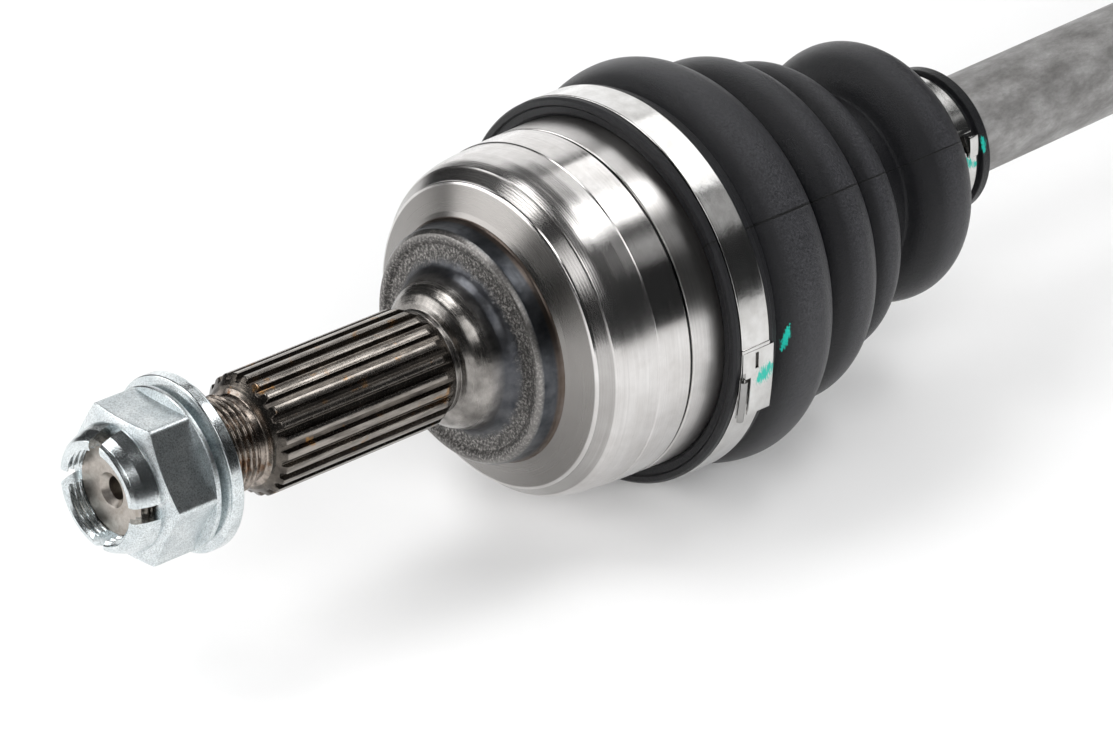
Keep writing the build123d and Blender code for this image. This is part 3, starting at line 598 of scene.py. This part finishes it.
tulip_steel = steel_look("tulip_skin", [(0.34, (0.13, 0.125, 0.12)), (0.66, (0.30, 0.29, 0.28))], 0.12, (0.36, 0.55),
                         (1.4, 0.6, 0.15), lines=0.3)
ground_steel = steel_look("ground_steel", [(0.3, (0.52, 0.51, 0.50)), (0.7, (0.68, 0.67, 0.66))], 0.15, (0.1, 0.2),
                          (2.5, 0.08, 0.02), lines=0.8, sheen=0.6)
bearing_steel = steel_look("bearing_polish", [(0.3, 0.6), (0.7, (0.72, 0.72, 0.73))], 0.2, (0.05, 0.14),
                           (4.0, 0.05, 0.01))
race_steel = steel_look("race_oxide", [(0.3, (0.07, 0.07, 0.075)), (0.7, (0.20, 0.195, 0.19))], 0.25, (0.22, 0.4),
                        (2.0, 0.25, 0.05))
spring_steel = steel_look("spring_wire", [(0.3, (0.16, 0.16, 0.17)), (0.7, (0.34, 0.34, 0.35))], 0.4, (0.2, 0.34),
                          (3.0, 0.2, 0.04))
cup_steel = steel_look("pressed_cup", [(0.3, (0.42, 0.41, 0.38)), (0.7, (0.58, 0.57, 0.54))], 0.3, (0.2, 0.34),
                       (2.5, 0.2, 0.04))


# Hub nut and washer

WASHER_R = 20.1
WASHER_BORE_R = 11.4
WASHER_SEAT = -77.3
WASHER_FRONT = WASHER_SEAT - 3.0
CONE_FRONT = WASHER_FRONT - 1.3
NUT_BACK = CONE_FRONT - 0.6
NUT_FRONT = -94.9
CROWN_TIP = -101.4
APOTHEM = 16.2
CORNER_R = 18.5
COLLAR_R = 18.4
COLLAR_LENGTH = 1.3
FRONT_SLOPE = 0.32
BACK_SLOPE = 0.14
CROWN_R = 14.6
SLOT_HALF = 1.8
NUT_THREAD_R = THREAD_R + 0.12


def nut_bore(x, angle):
    return NUT_THREAD_R - THREAD_DEPTH * (1 - thread(x, angle))


def nut_body():
    """Threaded hexagon with flats up and down. Its front is coned off, and its back runs into a round collar."""
    hexed = [30 + 60 * corner + side * step
             for corner in range(6) for side in (-1, 1) for step in (0.4, 1.2, 2.6, 6, 12, 18, 24, 28)]
    angles = np.array(sorted({round(a % 360, 3) for a in [*hexed, *np.arange(0, 360, 5)]}))
    side_r = np.minimum(APOTHEM / np.cos(np.radians((angles + 30) % 60 - 30)), CORNER_R)
    front = NUT_FRONT + (side_r - CROWN_R) * FRONT_SLOPE
    rows = rings(angles, [(NUT_FRONT, CROWN_R - 0.3), (NUT_FRONT, CROWN_R)])
    front_edge = ((-0.07, -0.2), (0.02, -0.05), (0.17, 0.0), (0.5, 0.0))
    rows += rings(angles, [(front + x, side_r + r) for x, r in front_edge])
    collar = NUT_BACK - COLLAR_LENGTH - (COLLAR_R - side_r) * BACK_SLOPE
    rows += rings(angles, [(front + (collar - front) * share, side_r) for share in (0.3, 0.6, 0.9, 0.97, 1.0)])
    rows.append(polar(collar + (COLLAR_R - side_r) * BACK_SLOPE, COLLAR_R, angles))
    collar_edge = ((-1.1, 0.15), (-0.8, 0.2), (-0.3, 0.2), (-0.08, 0.02), (0.0, -0.3))
    rows += rings(angles, [(NUT_BACK + x, COLLAR_R + r) for x, r in collar_edge] + [(NUT_BACK, THREAD_R + 1.0)])
    bore_xs = np.arange(NUT_BACK - 0.9, NUT_FRONT + 0.1, -THREAD_PITCH / 10)
    rows += rings(angles, [(x, nut_bore(x, angles)) for x in bore_xs])
    rows.append(polar(NUT_FRONT, THREAD_R + 0.15, angles))
    rows.append(rows[0])
    return grid(np.stack(rows))


def crown_sector(middle):
    """One of the crown's four teeth, between two slots with parallel walls, threaded inside."""
    outside = softened([(NUT_FRONT + 0.8, 14.55), (NUT_FRONT - 0.5, 14.5), (NUT_FRONT - 3.4, 13.85),
                        (CROWN_TIP + 0.9, 13.0), (CROWN_TIP + 0.1, 12.3), (CROWN_TIP, 11.3)], 0.6)
    shares = np.linspace(-1, 1, 26)

    def spread(radius):
        """The angles across the tooth at that radius, from wall to wall."""
        return middle + shares * (45 - np.degrees(np.arcsin(SLOT_HALF / radius)))

    rows = [polar(x, r, spread(r)) for x, r in outside]
    for x in np.arange(CROWN_TIP + 0.3, NUT_FRONT + 0.8, THREAD_PITCH / 10):
        angles = spread(NUT_THREAD_R - THREAD_DEPTH / 2)
        for _ in range(2):
            angles = spread(nut_bore(x, angles))
        rows.append(polar(x, nut_bore(x, angles), angles))
    rows.append(rows[0])
    points, faces = grid(np.stack(rows), closed=False)
    count, columns = len(rows), len(shares)
    caps = [[row * columns + column for row in range(count - 1)] for column in (0, columns - 1)]
    return points, faces + caps


add_piece("hub_nut_skin", joined(nut_body(), *(crown_sector(45 + 90 * index) for index in range(4))),
          [zinc_hex, zinc_crown], "nut", ["hub_nut"], sharp=30,
          zone=lambda x, radius, outward: x < NUT_FRONT - 0.05 or radius < CROWN_R - 0.2)
add_piece("nut_washer_skin", lathe([
    (WASHER_SEAT, WASHER_BORE_R), (WASHER_SEAT, WASHER_R), (WASHER_FRONT, WASHER_R), (WASHER_FRONT - 0.15, 19.3),
    (CONE_FRONT, 15.9), (CONE_FRONT, WASHER_BORE_R), (WASHER_SEAT, WASHER_BORE_R)], 256, own={1: 0.5, 2: 0.45}),
          [zinc_washer], "washer", ["nut_washer"], sharp=60)


# Stub: thread, relief and spline

DRILL_R = 2.6
SINK_R = 4.0


def stub_thread():
    """End face with its drilled centre, the thread and the relief behind it."""
    angles = np.arange(0, 360, 3.0)
    rows = rings(angles, softened([
        (STUB_END + 8.5, 0.0), (STUB_END + 7.0, DRILL_R), (STUB_END + 1.4, DRILL_R), (STUB_END, SINK_R),
        (STUB_END, THREAD_R - THREAD_DEPTH)], 0.15))
    for x in np.arange(STUB_END + 0.05, THREAD_END + 0.9, THREAD_PITCH / 12):
        cut = THREAD_R - THREAD_DEPTH * (1 - thread(x, angles))
        start = THREAD_R - THREAD_DEPTH + x - STUB_END
        end = RELIEF_R + np.clip(THREAD_END + 0.9 - x, 0, None) * 1.1
        rows.append(polar(x, np.minimum(np.minimum(cut, start), end), angles))
    rows += rings(angles, softened([
        (THREAD_END + 0.9, RELIEF_R), (SPLINE_START - 0.7, RELIEF_R), (SPLINE_START + 0.4, SPLINE_ROOT - 0.6),
        (SPLINE_START + 1.2, SPLINE_ROOT - 0.6)], 0.5))
    return grid(np.stack(rows))


def teeth_round(*half):
    """The angles round a spline, how far each is from a tooth's middle in pitches, and the tooth's height there from 0
    to 1. Half holds the shares of a pitch at which half a tooth is sampled."""
    shares = [-0.5, *(-share for share in reversed(half)), 0.0, *half]
    angles = np.array([(tooth + share) * 360 / TEETH for tooth in range(TEETH) for share in shares])
    away = np.abs(np.tile(shares, TEETH))
    return angles, away, eased(np.clip((FLANK_FOOT - away) / FLANK_WIDTH, 0, 1))


def lesser(first, second, soft):
    """The lesser of two, rounded where they cross."""
    gap = first - second
    return np.where(gap > soft, second, np.where(gap < -soft, first, first - (gap + soft) ** 2 / 4 / soft))


def stub_spline():
    """Twenty-four rolled teeth with rounded tips, bevelled where they start and run out."""
    bevel, drop = 1.9, 1.0
    angles, away, rise = teeth_round(0.08, 0.16, 0.19, 0.215, 0.25, 0.3, 0.33, 0.36, 0.41)
    tooth_r = SPLINE_ROOT + (SPLINE_R - SPLINE_ROOT) * rise - 0.1 * (away / 0.2) ** 2 * (away < 0.2)
    rows = [polar(SPLINE_START - 0.3, RELIEF_R + 0.1, angles)]
    for x in [*np.linspace(SPLINE_START, SPLINE_START + 3.2, 18), *np.linspace(SPLINE_START + 4, SPLINE_END - 5, 14),
              *np.linspace(SPLINE_END - 3.5, SPLINE_END + 0.5, 14)]:
        start = SPLINE_ROOT - drop + (x - SPLINE_START) * (SPLINE_R - SPLINE_ROOT + drop) / bevel
        end = SPLINE_ROOT - 0.5 + np.clip(SPLINE_END + 0.5 - x, 0, None) * 0.5
        rows.append(polar(x, lesser(tooth_r, min(start, end), 0.12), angles))
    return grid(np.stack(rows))


add_piece("stub_thread_skin", stub_thread(), [thread_steel, end_face], "wheel_joint", sharp=50,
          zone=lambda x, radius, outward: radius < THREAD_R - 1.0 and x < STUB_END + 9)
add_piece("stub_spline_skin", stub_spline(), [spline_steel], "wheel_joint", sharp=45)


# Bell

BORE_SPHERE_R = 30.5
BALL_CIRCLE_R = 27.5
TRACK_R = 8.1
BORE_FLOOR = 13.0
BORE_FLOOR_R = 18.6
MOUTH_CONE_R = 17.25  # of the mouth's cone, at the joint's centre
GROOVE_SEARCH = 24.0, 37.0
BELL_END = 53.5
BELL_PROFILE = [
    (-9.6, 9.0), (-10.9, 12.1), (-9.4, 12.1), (-8.9, 13.4), (-7.7, 15.3), (-5.9, 16.7), (-3.9, 17.5), (-2.0, 18.1),
    (-0.5, 19.0), (0.5, 20.4), (0.8, 21.8), (0.8, 24.0), (0.0, 25.0), (0.0, 26.6), (1.1, 27.5), (5.9, 28.3),
    (6.65, 29.8), (8.75, 35.2), (9.05, 36.0), (9.7, 36.05), (12.0, 38.1), (12.3, 38.55), (14.0, 39.35),
    (17.0, 40.05), (20.5, 40.4), (23.4, 40.5), (23.65, 40.75), (32.2, 41.05), (32.5, 40.4), (32.9, 40.4),
    (33.2, 41.05), (40.7, 41.3), (41.7, 41.2), (52.0, 41.2), (BELL_END, 39.7), (BELL_END, 34.4)]
BELL_CORNERS = {**{index: 3.0 for index in range(3, 11)}, 12: 0.4, 13: 0.6, 14: 0.8, 15: 0.9, 16: 0.5, 17: 0.5,
                18: 0.35, 19: 0.12, 21: 0.8, 22: 6.0, 23: 8.0, 24: 10.0}


def groove_reach(x, away):
    """How far out a ball groove cuts, at x from the joint's centre and an angle from the groove's plane."""
    turn = np.radians(away)
    low, high = (np.full(np.shape(turn), radius) for radius in GROOVE_SEARCH)
    for _ in range(24):
        middle = (low + high) / 2
        ring = np.sqrt(x ** 2 + (middle * np.cos(turn)) ** 2) - BALL_CIRCLE_R
        inside = ring ** 2 + (middle * np.sin(turn)) ** 2 < TRACK_R ** 2
        low, high = np.where(inside, middle, low), np.where(inside, high, middle)
    return low


def bell_inside():
    """Spherical bore with six ball grooves, its flat floor and the coned mouth."""
    angles = np.arange(0, 360, 1.5)
    away = np.abs((angles % 60) - 30)
    rows = rings(angles, [(BORE_FLOOR, 0.0), (BORE_FLOOR, BORE_FLOOR_R)])
    for x in np.linspace(BORE_FLOOR + 0.1, BELL_END, 44):
        beyond = x - JOINT_CENTRE
        sphere = math.sqrt(max(BORE_SPHERE_R ** 2 - beyond ** 2, 0))
        track = groove_reach(beyond, away)
        reach = np.where(track > GROOVE_SEARCH[0] + 0.01, np.maximum(track, sphere), sphere)
        rows.append(polar(x, np.maximum(reach, MOUTH_CONE_R + beyond), angles))
    return grid(np.stack(rows))


def bell_zone(x, radius, outward):
    if x > BORE_FLOOR - 0.5 and radius < 38.0 and outward <= 0:
        return 2
    return x > 5.0 and radius > 28.7


add_piece("bell_skin", joined(lathe(BELL_PROFILE, 256, radius=0.2, own=BELL_CORNERS), bell_inside()),
          [boss_steel, bell_steel, inside_steel], "wheel_joint",
          ["outer_housing"], zone=bell_zone)


# Clamps

def large_lock(start, seat_r, middle):
    """The lock of a large clamp: a stiff plate that stands off at its end, a bead over its top edge, a short slot and
    a rolled hook beside it."""
    top = middle - 9.4
    slot_near, slot_far, slot_end = start + 3.9, start + 4.9, top + 6.0
    hook_side, hook_top, cover_end = start + 2.6, top + 8.4, top + 20.2
    hook_r = 0.75

    def stand_off(u, v):
        return polar(u, seat_r + 0.3 + 1.5 * (max(v - top, 0) / 20) ** 2, v)

    def cut(u, v):
        slot = slot_near < u < slot_far and top + 1.2 < v < slot_end
        return slot or (u < hook_side and v > hook_top)

    def rolled(u, v):
        lift = hook_r + hook_r * math.cos(math.radians(v)) + 1.2 * ((u - top) / 20) ** 2
        return polar(start - 0.2 + hook_r * math.sin(math.radians(v)), seat_r + lift, u)

    bead = plate(steps_between(start - 0.1, start + 8.4, 4.2), [top - 0.9, top, top + 0.7], bent_round(seat_r + 0.2),
                 1.25, bevel=0.25)
    us = [start + 0.1, hook_side, slot_near, slot_far, start + 9.4]
    vs = [top + 0.2, top + 1.2, *steps_between(slot_end, hook_top, 1.2), *steps_between(top + 9.6, cover_end, 1.3)]
    cover = plate(us, vs, stand_off, 0.7, cut)
    hook = plate(steps_between(top + 8.0, top + 20.4, 1.5), np.linspace(-80, 200, 15), rolled, 0.28, bevel=0.06)
    return joined(bead, cover, hook)


def small_lock(start, seat_r, middle):
    """The lock of a small clamp: a step across the band and a raised ear, tipped outwards, on its outer half."""
    step = plate(steps_between(start + 0.1, start + 7.5, 3.7), steps_between(middle - 15, middle - 11, 2),
                 bent_round(seat_r + 0.05), 0.9)
    ear = plate([start + 4.6, start + 6.0, start + 7.5], steps_between(middle - 8, middle + 8, 2.0),
                lambda u, v: polar(u, seat_r + 1.2 - 0.09 * (v - middle), v), 0.5)
    web = plate([start + 0.8, start + 2.4], steps_between(middle - 11, middle + 10, 2), bent_round(seat_r + 0.05), 0.5)
    return joined(step, ear, web)


# The two kinds of clamp: the band's width and thickness, its lock, and the angle of the lock's middle.
LARGE = 8.4, 1.0, large_lock, 98
SMALL = 7.6, 0.9, small_lock, 72
SMALL_SEAT_R = 16.7


def add_clamp(name, node, kind, start, inner_r, body, place, band_look, lock_look):
    """The closed band, with rolled edges, and its lock."""
    width, rise, lock, angle = kind
    end, outer_r = start + width, inner_r + rise
    band = lathe([(start, inner_r), (start, outer_r), (end, outer_r), (end, inner_r), (start, inner_r)], 224,
                 radius=rise * 0.3)
    add_piece(f"{name}_band", band, [band_look], body, [node], place, sharp=60)
    add_piece(f"{name}_buckle", lock(start, outer_r, angle), [lock_look], body, [f"{node}_lock"], place)


add_clamp("large_clamp", "outer_clamp_large", LARGE, CLAMP_START, CLAMP_R, "wheel_joint", STUB,
          outer_band_steel, lock_steel)
add_clamp("small_clamp", "outer_clamp_small", SMALL, 108.0, SMALL_SEAT_R, "shaft", SHAFT,
          small_clamp_steel, small_clamp_steel)
add_clamp("inner_large_clamp", "inner_clamp_large", LARGE, -20.8, 40.24, "gearbox_joint", INNER,
          clamp_steel, clamp_steel)
add_clamp("inner_small_clamp", "inner_clamp_small", SMALL, -101.1, SMALL_SEAT_R, "shaft", INNER,
          small_clamp_steel, small_clamp_steel)


# Boots

def fold(place, middle, halves, crest_r, valleys, power=2.0):
    """The radius over one fold: a rounded crest that falls steeply to the valley on each side."""
    before = place < middle
    share = (place - middle) / np.where(before, *halves)
    height = np.sqrt(np.clip(1 - np.abs(share) ** power, 0, 1))
    base = np.where(before, *valleys)
    return np.where(np.abs(share) < 1, base + (crest_r - base) * height, 0)


def smoothed(values, passes=2):
    for _ in range(passes):
        values[1:-1] = (values[:-2] + values[1:-1] * 2 + values[2:]) / 4
    return values


def bar_lip(start, end, foot):
    """The narrow end of a boot: a collar from start, a lip at end and its turn down to the bar. Foot is how far before
    the end the lip rises."""
    way = math.copysign(1.0, end - start)
    return list(softened([
        (start, NECK_R), *((end - way * back, NECK_R + more) for back, more in zip(foot, (0.0, 0.2, 1.7))),
        (end - way * 0.5, NECK_R + 1.8), (end, NECK_R + 0.9), (end, BAR_R + 1.0), (end - way * 0.6, BAR_R + 0.25)]))


def outer_boot_line():
    """(place, radius) of the outer boot's skin, from the lip on the bell to the lip on the bar."""
    line = list(softened([
        (BOOT_LIP + 0.9, 41.35), (BOOT_LIP + 0.5, 42.0), (BOOT_LIP + 0.5, 43.6), (BOOT_LIP, 44.0), (BOOT_LIP, 45.2),
        (BOOT_LIP + 0.6, 45.75), (CLAMP_START - 0.25, 45.75),
        (CLAMP_START - 0.15, 44.6), (CLAMP_END + 0.15, 44.6), (CLAMP_END + 0.3, 45.5), (CLAMP_END + 1.3, 45.6),
        (CLAMP_END + 1.9, 44.5), (CLAMP_END + 3.4, 44.5), (CLAMP_END + 3.9, 43.6)], 0.3))
    places = np.arange(55.9, FOLDS_END, 0.3)
    radii = np.full(len(places), 23.2)
    radii[places < 60] = 43.2
    radii[places > 135] = NECK_R + 0.4
    for one in OUTER_FOLDS:
        radii = np.maximum(radii, fold(places, *one))
    line += list(zip(places, smoothed(radii)))
    return np.array(line + bar_lip(FOLDS_END + 0.6, BOOT_END, (3.5, 3.1, 2.9)), float)


def outer_boot():
    """The skin swept along an axis that turns from the stub's to the bar's."""
    line = outer_boot_line()
    angles = np.arange(0, 360, 2.0)
    rows = polar(0.0, line[:, 1:], angles[None, :])
    share = eased(np.clip((line[:, 0] - CLAMP_END) / (FOLDS_END - CLAMP_END), 0, 1))
    beyond = line[:, 0] - JOINT_CENTRE
    turn = (REST_BEND * share)[:, None]
    middle_x = (line[:, 0] * (1 - share) + (JOINT_CENTRE + beyond * math.cos(REST_BEND)) * share)[:, None]
    middle_y = (beyond * math.sin(REST_BEND) * share)[:, None]
    side, height = rows[..., 1], rows[..., 2]
    return grid(np.stack([middle_x - side * np.sin(turn), middle_y + side * np.cos(turn), height], axis=-1))


boot = add_piece("outer_boot_skin", outer_boot(), [rubber], None, ["outer_boot"], sharp=60)
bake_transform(boot)


INNER_SMALL_END = INNER_FOLD_START - INNER_PITCH * INNER_COUNT - 15.0
INNER_SPLIT = INNER_FOLD_START - INNER_PITCH * 2


def inner_boot_line():
    """(place, radius) of the inner boot's skin, from the lip on the housing down to the bar."""
    line = list(softened([
        (-10.4, 36.7), (-10.0, 37.6), (-10.0, 40.6), (-10.6, 41.1), (-12.0, 41.1), (-12.2, 39.9), (-21.0, 39.9),
        (-21.2, 40.8), (-22.6, 40.8), (-23.3, 39.9), (-28.6, 39.4)], 0.3))
    places = np.arange(INNER_FOLD_START, INNER_SMALL_END + 14.9, -0.4)
    radii = np.full(len(places), NECK_R + 0.6)
    for index in range(INNER_COUNT):
        crest = INNER_CREST_R - INNER_CREST_STEP * index
        middle = INNER_FOLD_START - INNER_PITCH * (index + 0.5)
        half = INNER_PITCH / 2 + 0.15
        nearer = 38.6 if index == 0 else crest - 4.3
        radii = np.maximum(radii, fold(places, middle, (half, half), crest, (crest - 8.2, nearer)))
    line += list(zip(places, smoothed(radii)))
    return np.array(line + bar_lip(INNER_SMALL_END + 14.2, INNER_SMALL_END, (3.4, 2.3, 1.9)), float)


def inner_boot_part(name, rows, nodes=()):
    angles = np.arange(0, 360, 2.0)
    shape = grid(polar(rows[:, :1], rows[:, 1:], angles[None, :]))
    piece = add_piece(name, shape, [inner_rubber], None, nodes, INNER, sharp=60)
    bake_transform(piece)


inner_line = inner_boot_line()
split = int(np.argmin(np.abs(inner_line[:, 0] - INNER_SPLIT)))
inner_boot_part("inner_boot_large_half", inner_line[:split + 1],
                ["inner_boot"])
inner_boot_part("inner_boot_small_half", inner_line[split:])


# Bar and inner joint

add_piece("shaft_bar_skin", lathe([
    (-14.1, 0.0), (-14.1, 9.6), (-13.2, 11.0), (-12.4, 11.0), (-12.4, 10.1), (-10.6, 10.1), (-10.6, 11.0), (10.7, 11.0),
    (10.7, 12.6), (13.1, 12.6), (15.1, 11.0), (52.0, 11.0), (60.0, BAR_R), (322.0, BAR_R), (330.0, 10.0), (385.0, 10.0),
    (386.0, 11.8), (388.9, 11.8), (388.9, 10.6), (411.1, 10.6), (411.1, 9.7), (412.9, 9.7), (412.9, 9.6), (414.4, 9.0),
    (416.2, 5.0), (417.0, 0.0)], 144, radius=0.2, own={11: 6.0, 12: 10.0, 13: 10.0, 14: 6.0}),
          [bar_steel], "shaft", ["shaft_bar"], SHAFT)

LOBE_CIRCLE_R = 23.0
LOBE_R = 20.35
LOBE_LIMIT = 36.45
HUB_R = 29.7
CUP_FLOOR = 35.6
CUP_BACK = 44.6
CUP_ROUNDING = 3.0
GEARBOX_ROOT_R = 11.75
GEARBOX_TEETH = 1.22


def lobed_radius(angles, lobe_r, limit, hub_r):
    """The outline of three lobes, cut off at limit and joined by a round hub."""
    away = np.radians((angles - 270 + 60) % 120 - 60)
    inside = np.clip(lobe_r ** 2 - (LOBE_CIRCLE_R * np.sin(away)) ** 2, 0, None)
    lobe = np.where(inside > 0, LOBE_CIRCLE_R * np.cos(away) + np.sqrt(inside), 0)
    lobe = np.minimum(lobe, limit)
    ease = 1.6
    gap = np.clip(0.5 + (lobe - hub_r) / (2 * ease), 0, 1)
    return hub_r * (1 - gap) + lobe * gap + ease * gap * (1 - gap)


def tulip():
    """Lobed cup with its hollow, a waisted neck, the ground seal journal and the gearbox spline."""
    angles = np.arange(0, 360, 1.25)
    outer = lobed_radius(angles, LOBE_R, LOBE_LIMIT, HUB_R)
    inner = lobed_radius(angles, 15.75, 31.84, 25.5)
    stops = [(CUP_FLOOR, 0.0), (CUP_FLOOR, inner * 0.6), (CUP_FLOOR, inner - 0.6), (CUP_FLOOR - 0.6, inner)]
    stops += [(x, inner) for x in np.linspace(32, INNER_MOUTH + 1.2, 6)]
    stops += [(INNER_MOUTH + 0.2, inner + 0.5), (INNER_MOUTH, inner + 0.9), (INNER_MOUTH, outer - 0.8),
              (INNER_MOUTH + 0.3, outer - 0.2)]
    stops += [(x, outer) for x in np.linspace(INNER_MOUTH + 1, CUP_BACK - CUP_ROUNDING - 0.2, 10)]
    for turn in np.linspace(0.1, 1, 9) * math.pi / 2:
        stops.append((CUP_BACK - CUP_ROUNDING * (1 - math.sin(turn)), outer - CUP_ROUNDING * (1 - math.cos(turn))))
    stops.append((CUP_BACK + 0.3, outer * 0.35 + 18.0))
    neck = softened([(CUP_BACK + 0.6, 25.0), (48.3, 19.2), (57.9, 17.0), (58.0, 18.0), (58.5, 18.5), (70.8, 18.5),
                     (72.0, 17.3), (74.0, 13.4), (76.6, 12.2), (78.2, 11.3)], 0.5, own={1: 4.0, 2: 0.4})
    tail = softened([(107.6, 11.3), (108.4, 12.4), (110.0, 12.4), (110.0, 11.5), (111.9, 11.5), (111.9, 12.4),
                     (113.0, 12.4), (114.0, 11.0), (114.0, 1.6), (112.6, 0.0)], 0.15)
    return grid(np.stack(rings(angles, [*stops, *neck, *tail])))


def gearbox_spline():
    """The teeth of the gearbox end."""
    angles, _, rise = teeth_round(0.1, 0.19, 0.24, 0.3, 0.345, 0.4)
    rows = []
    for x in [*np.linspace(77.9, 80.4, 12), 90.0, 98.0, *np.linspace(105.6, 108.1, 12)]:
        limit = 11.2 + min(x - 77.8, 108.2 - x) * 0.95
        rows.append(polar(x, np.minimum(GEARBOX_ROOT_R + GEARBOX_TEETH * rise, limit), angles))
    return grid(np.stack(rows))


add_piece("tulip_skin", joined(tulip(), gearbox_spline()), [tulip_steel, ground_steel], "gearbox_joint",
          ["tulip_housing"], INNER,
          zone=lambda x, radius, outward: 57.9 < x < 72.5 or (x < CUP_FLOOR + 0.4 and outward < 0))


# The hidden pieces keep the CAD's shape.
def numbered(name, count):
    return [f"{name}_{index}" for index in range(1, count + 1)]


KEPT = {
    race_steel: ["outer_race", "outer_cage", "tripod_spider"],
    cup_steel: ["thrust_cup", *numbered("roller_retainer", 3)],
    spring_steel: ["thrust_spring", "race_snap_ring", "spider_snap_ring", "gearbox_snap_ring"],
    bearing_steel: [*numbered("ball", 6), *numbered("roller", 3), *numbered("needles", 3)],
}
for look, names in KEPT.items():
    for name in names:
        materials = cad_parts[name].data.materials
        for index in range(len(materials)):
            materials[index] = look.material


# Floor, light and camera

def floor_look():
    look = Look("paper_floor", 0.0)
    fibre = look.noise(0.02, detail=4.0)
    return look.coat(look.ramp(fibre, (0.3, 0.885), (0.7, 0.9)), 0.9, look.bump(look.noise(1.5), 0.05, 0.02))


FLOOR_Z = -47.7
FLOOR_HALF = 4000
corners = [(x * FLOOR_HALF, y * FLOOR_HALF, FLOOR_Z) for x, y in ((-1, -1), (1, -1), (1, 1), (-1, 1))]
floor = add_piece("floor", (corners, [[0, 1, 2, 3]]), [floor_look()])


LIT_POINT = Vector((JOINT_CENTRE + 3, 0, 0)) * MM


def softbox(name, azimuth, elevation, distance, size, glow, reflected=True):
    """A rectangular studio light that faces the bell; glow is the brightness of its front."""
    data = bpy.data.lights.new(name, "AREA")
    data.shape = "RECTANGLE"
    data.size, data.size_y = size
    data.energy = glow * math.pi * size[0] * size[1]
    light = bpy.data.objects.new(name, data)
    bpy.context.scene.collection.objects.link(light)
    across, up = math.radians(azimuth), math.radians(elevation)
    away = Vector((math.cos(up) * math.cos(across), math.cos(up) * math.sin(across), math.sin(up)))
    light.location = LIT_POINT + away * distance
    light.rotation_euler = away.to_track_quat("Z", "Y").to_euler()
    light.visible_glossy = reflected


softbox("front_fill", -118, 20, 1.9, (2.2, 1.1), 5.6, reflected=False)
softbox("side_fill", -30, 24, 1.9, (1.7, 1.1), 1.5, reflected=False)
softbox("left_fill", 172, 24, 1.9, (1.7, 1.1), 1.5, reflected=False)
softbox("back_fill", 62, 38, 1.9, (2.0, 1.2), 1.2, reflected=False)
softbox("top_card", 140, 62, 1.0, (0.46, 0.36), 6.0)
softbox("crest_card", -35, 64, 1.0, (0.46, 0.24), 4.5)
softbox("key_card", 4, 51, 1.0, (0.80, 0.30), 1.9)
softbox("back_card", 54, 20, 1.0, (0.66, 0.85), 1.2)
softbox("left_back_card", 140, 15, 1.0, (0.6, 0.42), 3.2)
softbox("front_left_card", -140, 40, 1.0, (0.6, 0.40), 2.2)
softbox("right_card", -38, 37, 1.0, (0.4, 0.24), 0.45)

world = bpy.data.worlds.new("studio")
world.use_nodes = True
backdrop = world.node_tree.nodes["Background"]
backdrop.inputs["Color"].default_value = (0.95, 0.98, 1.0, 1)
backdrop.inputs["Strength"].default_value = 0.025
bpy.context.scene.world = world
bpy.context.scene.view_settings.view_transform = "Standard"

# The camera was fitted to the rings and edges in the photograph. These are the part's origin and axes as it sees
# them, with x to the right, y down and z away.
FOCAL_PIXELS = 5500.0
PHOTO_WIDTH = 1113.0
SENSOR = 36.0
STUB_DIRECTION = 0.7395118, -0.30972966, 0.59765361
centre = Vector((-21.93, -5.83, 1217.37)) * MM
axis_x = Vector(STUB_DIRECTION)
tilt = math.atan2(-STUB_DIRECTION[1], STUB_DIRECTION[2])
axis_z = Vector((0, -math.cos(tilt), -math.sin(tilt)))
axis_y = axis_z.cross(axis_x)
camera_data = bpy.data.cameras.new("camera")
camera_data.sensor_width = SENSOR
camera_data.lens = FOCAL_PIXELS / PHOTO_WIDTH * SENSOR
camera_data.clip_start = 0.05
camera_data.clip_end = 20.0
camera = bpy.data.objects.new("camera", camera_data)
bpy.context.scene.collection.objects.link(camera)
camera.matrix_world = Matrix((
    *((axis.x, -axis.y, -axis.z, -centre.dot(axis)) for axis in (axis_x, axis_y, axis_z)),
    (0, 0, 0, 1),
))
bpy.context.scene.camera = camera
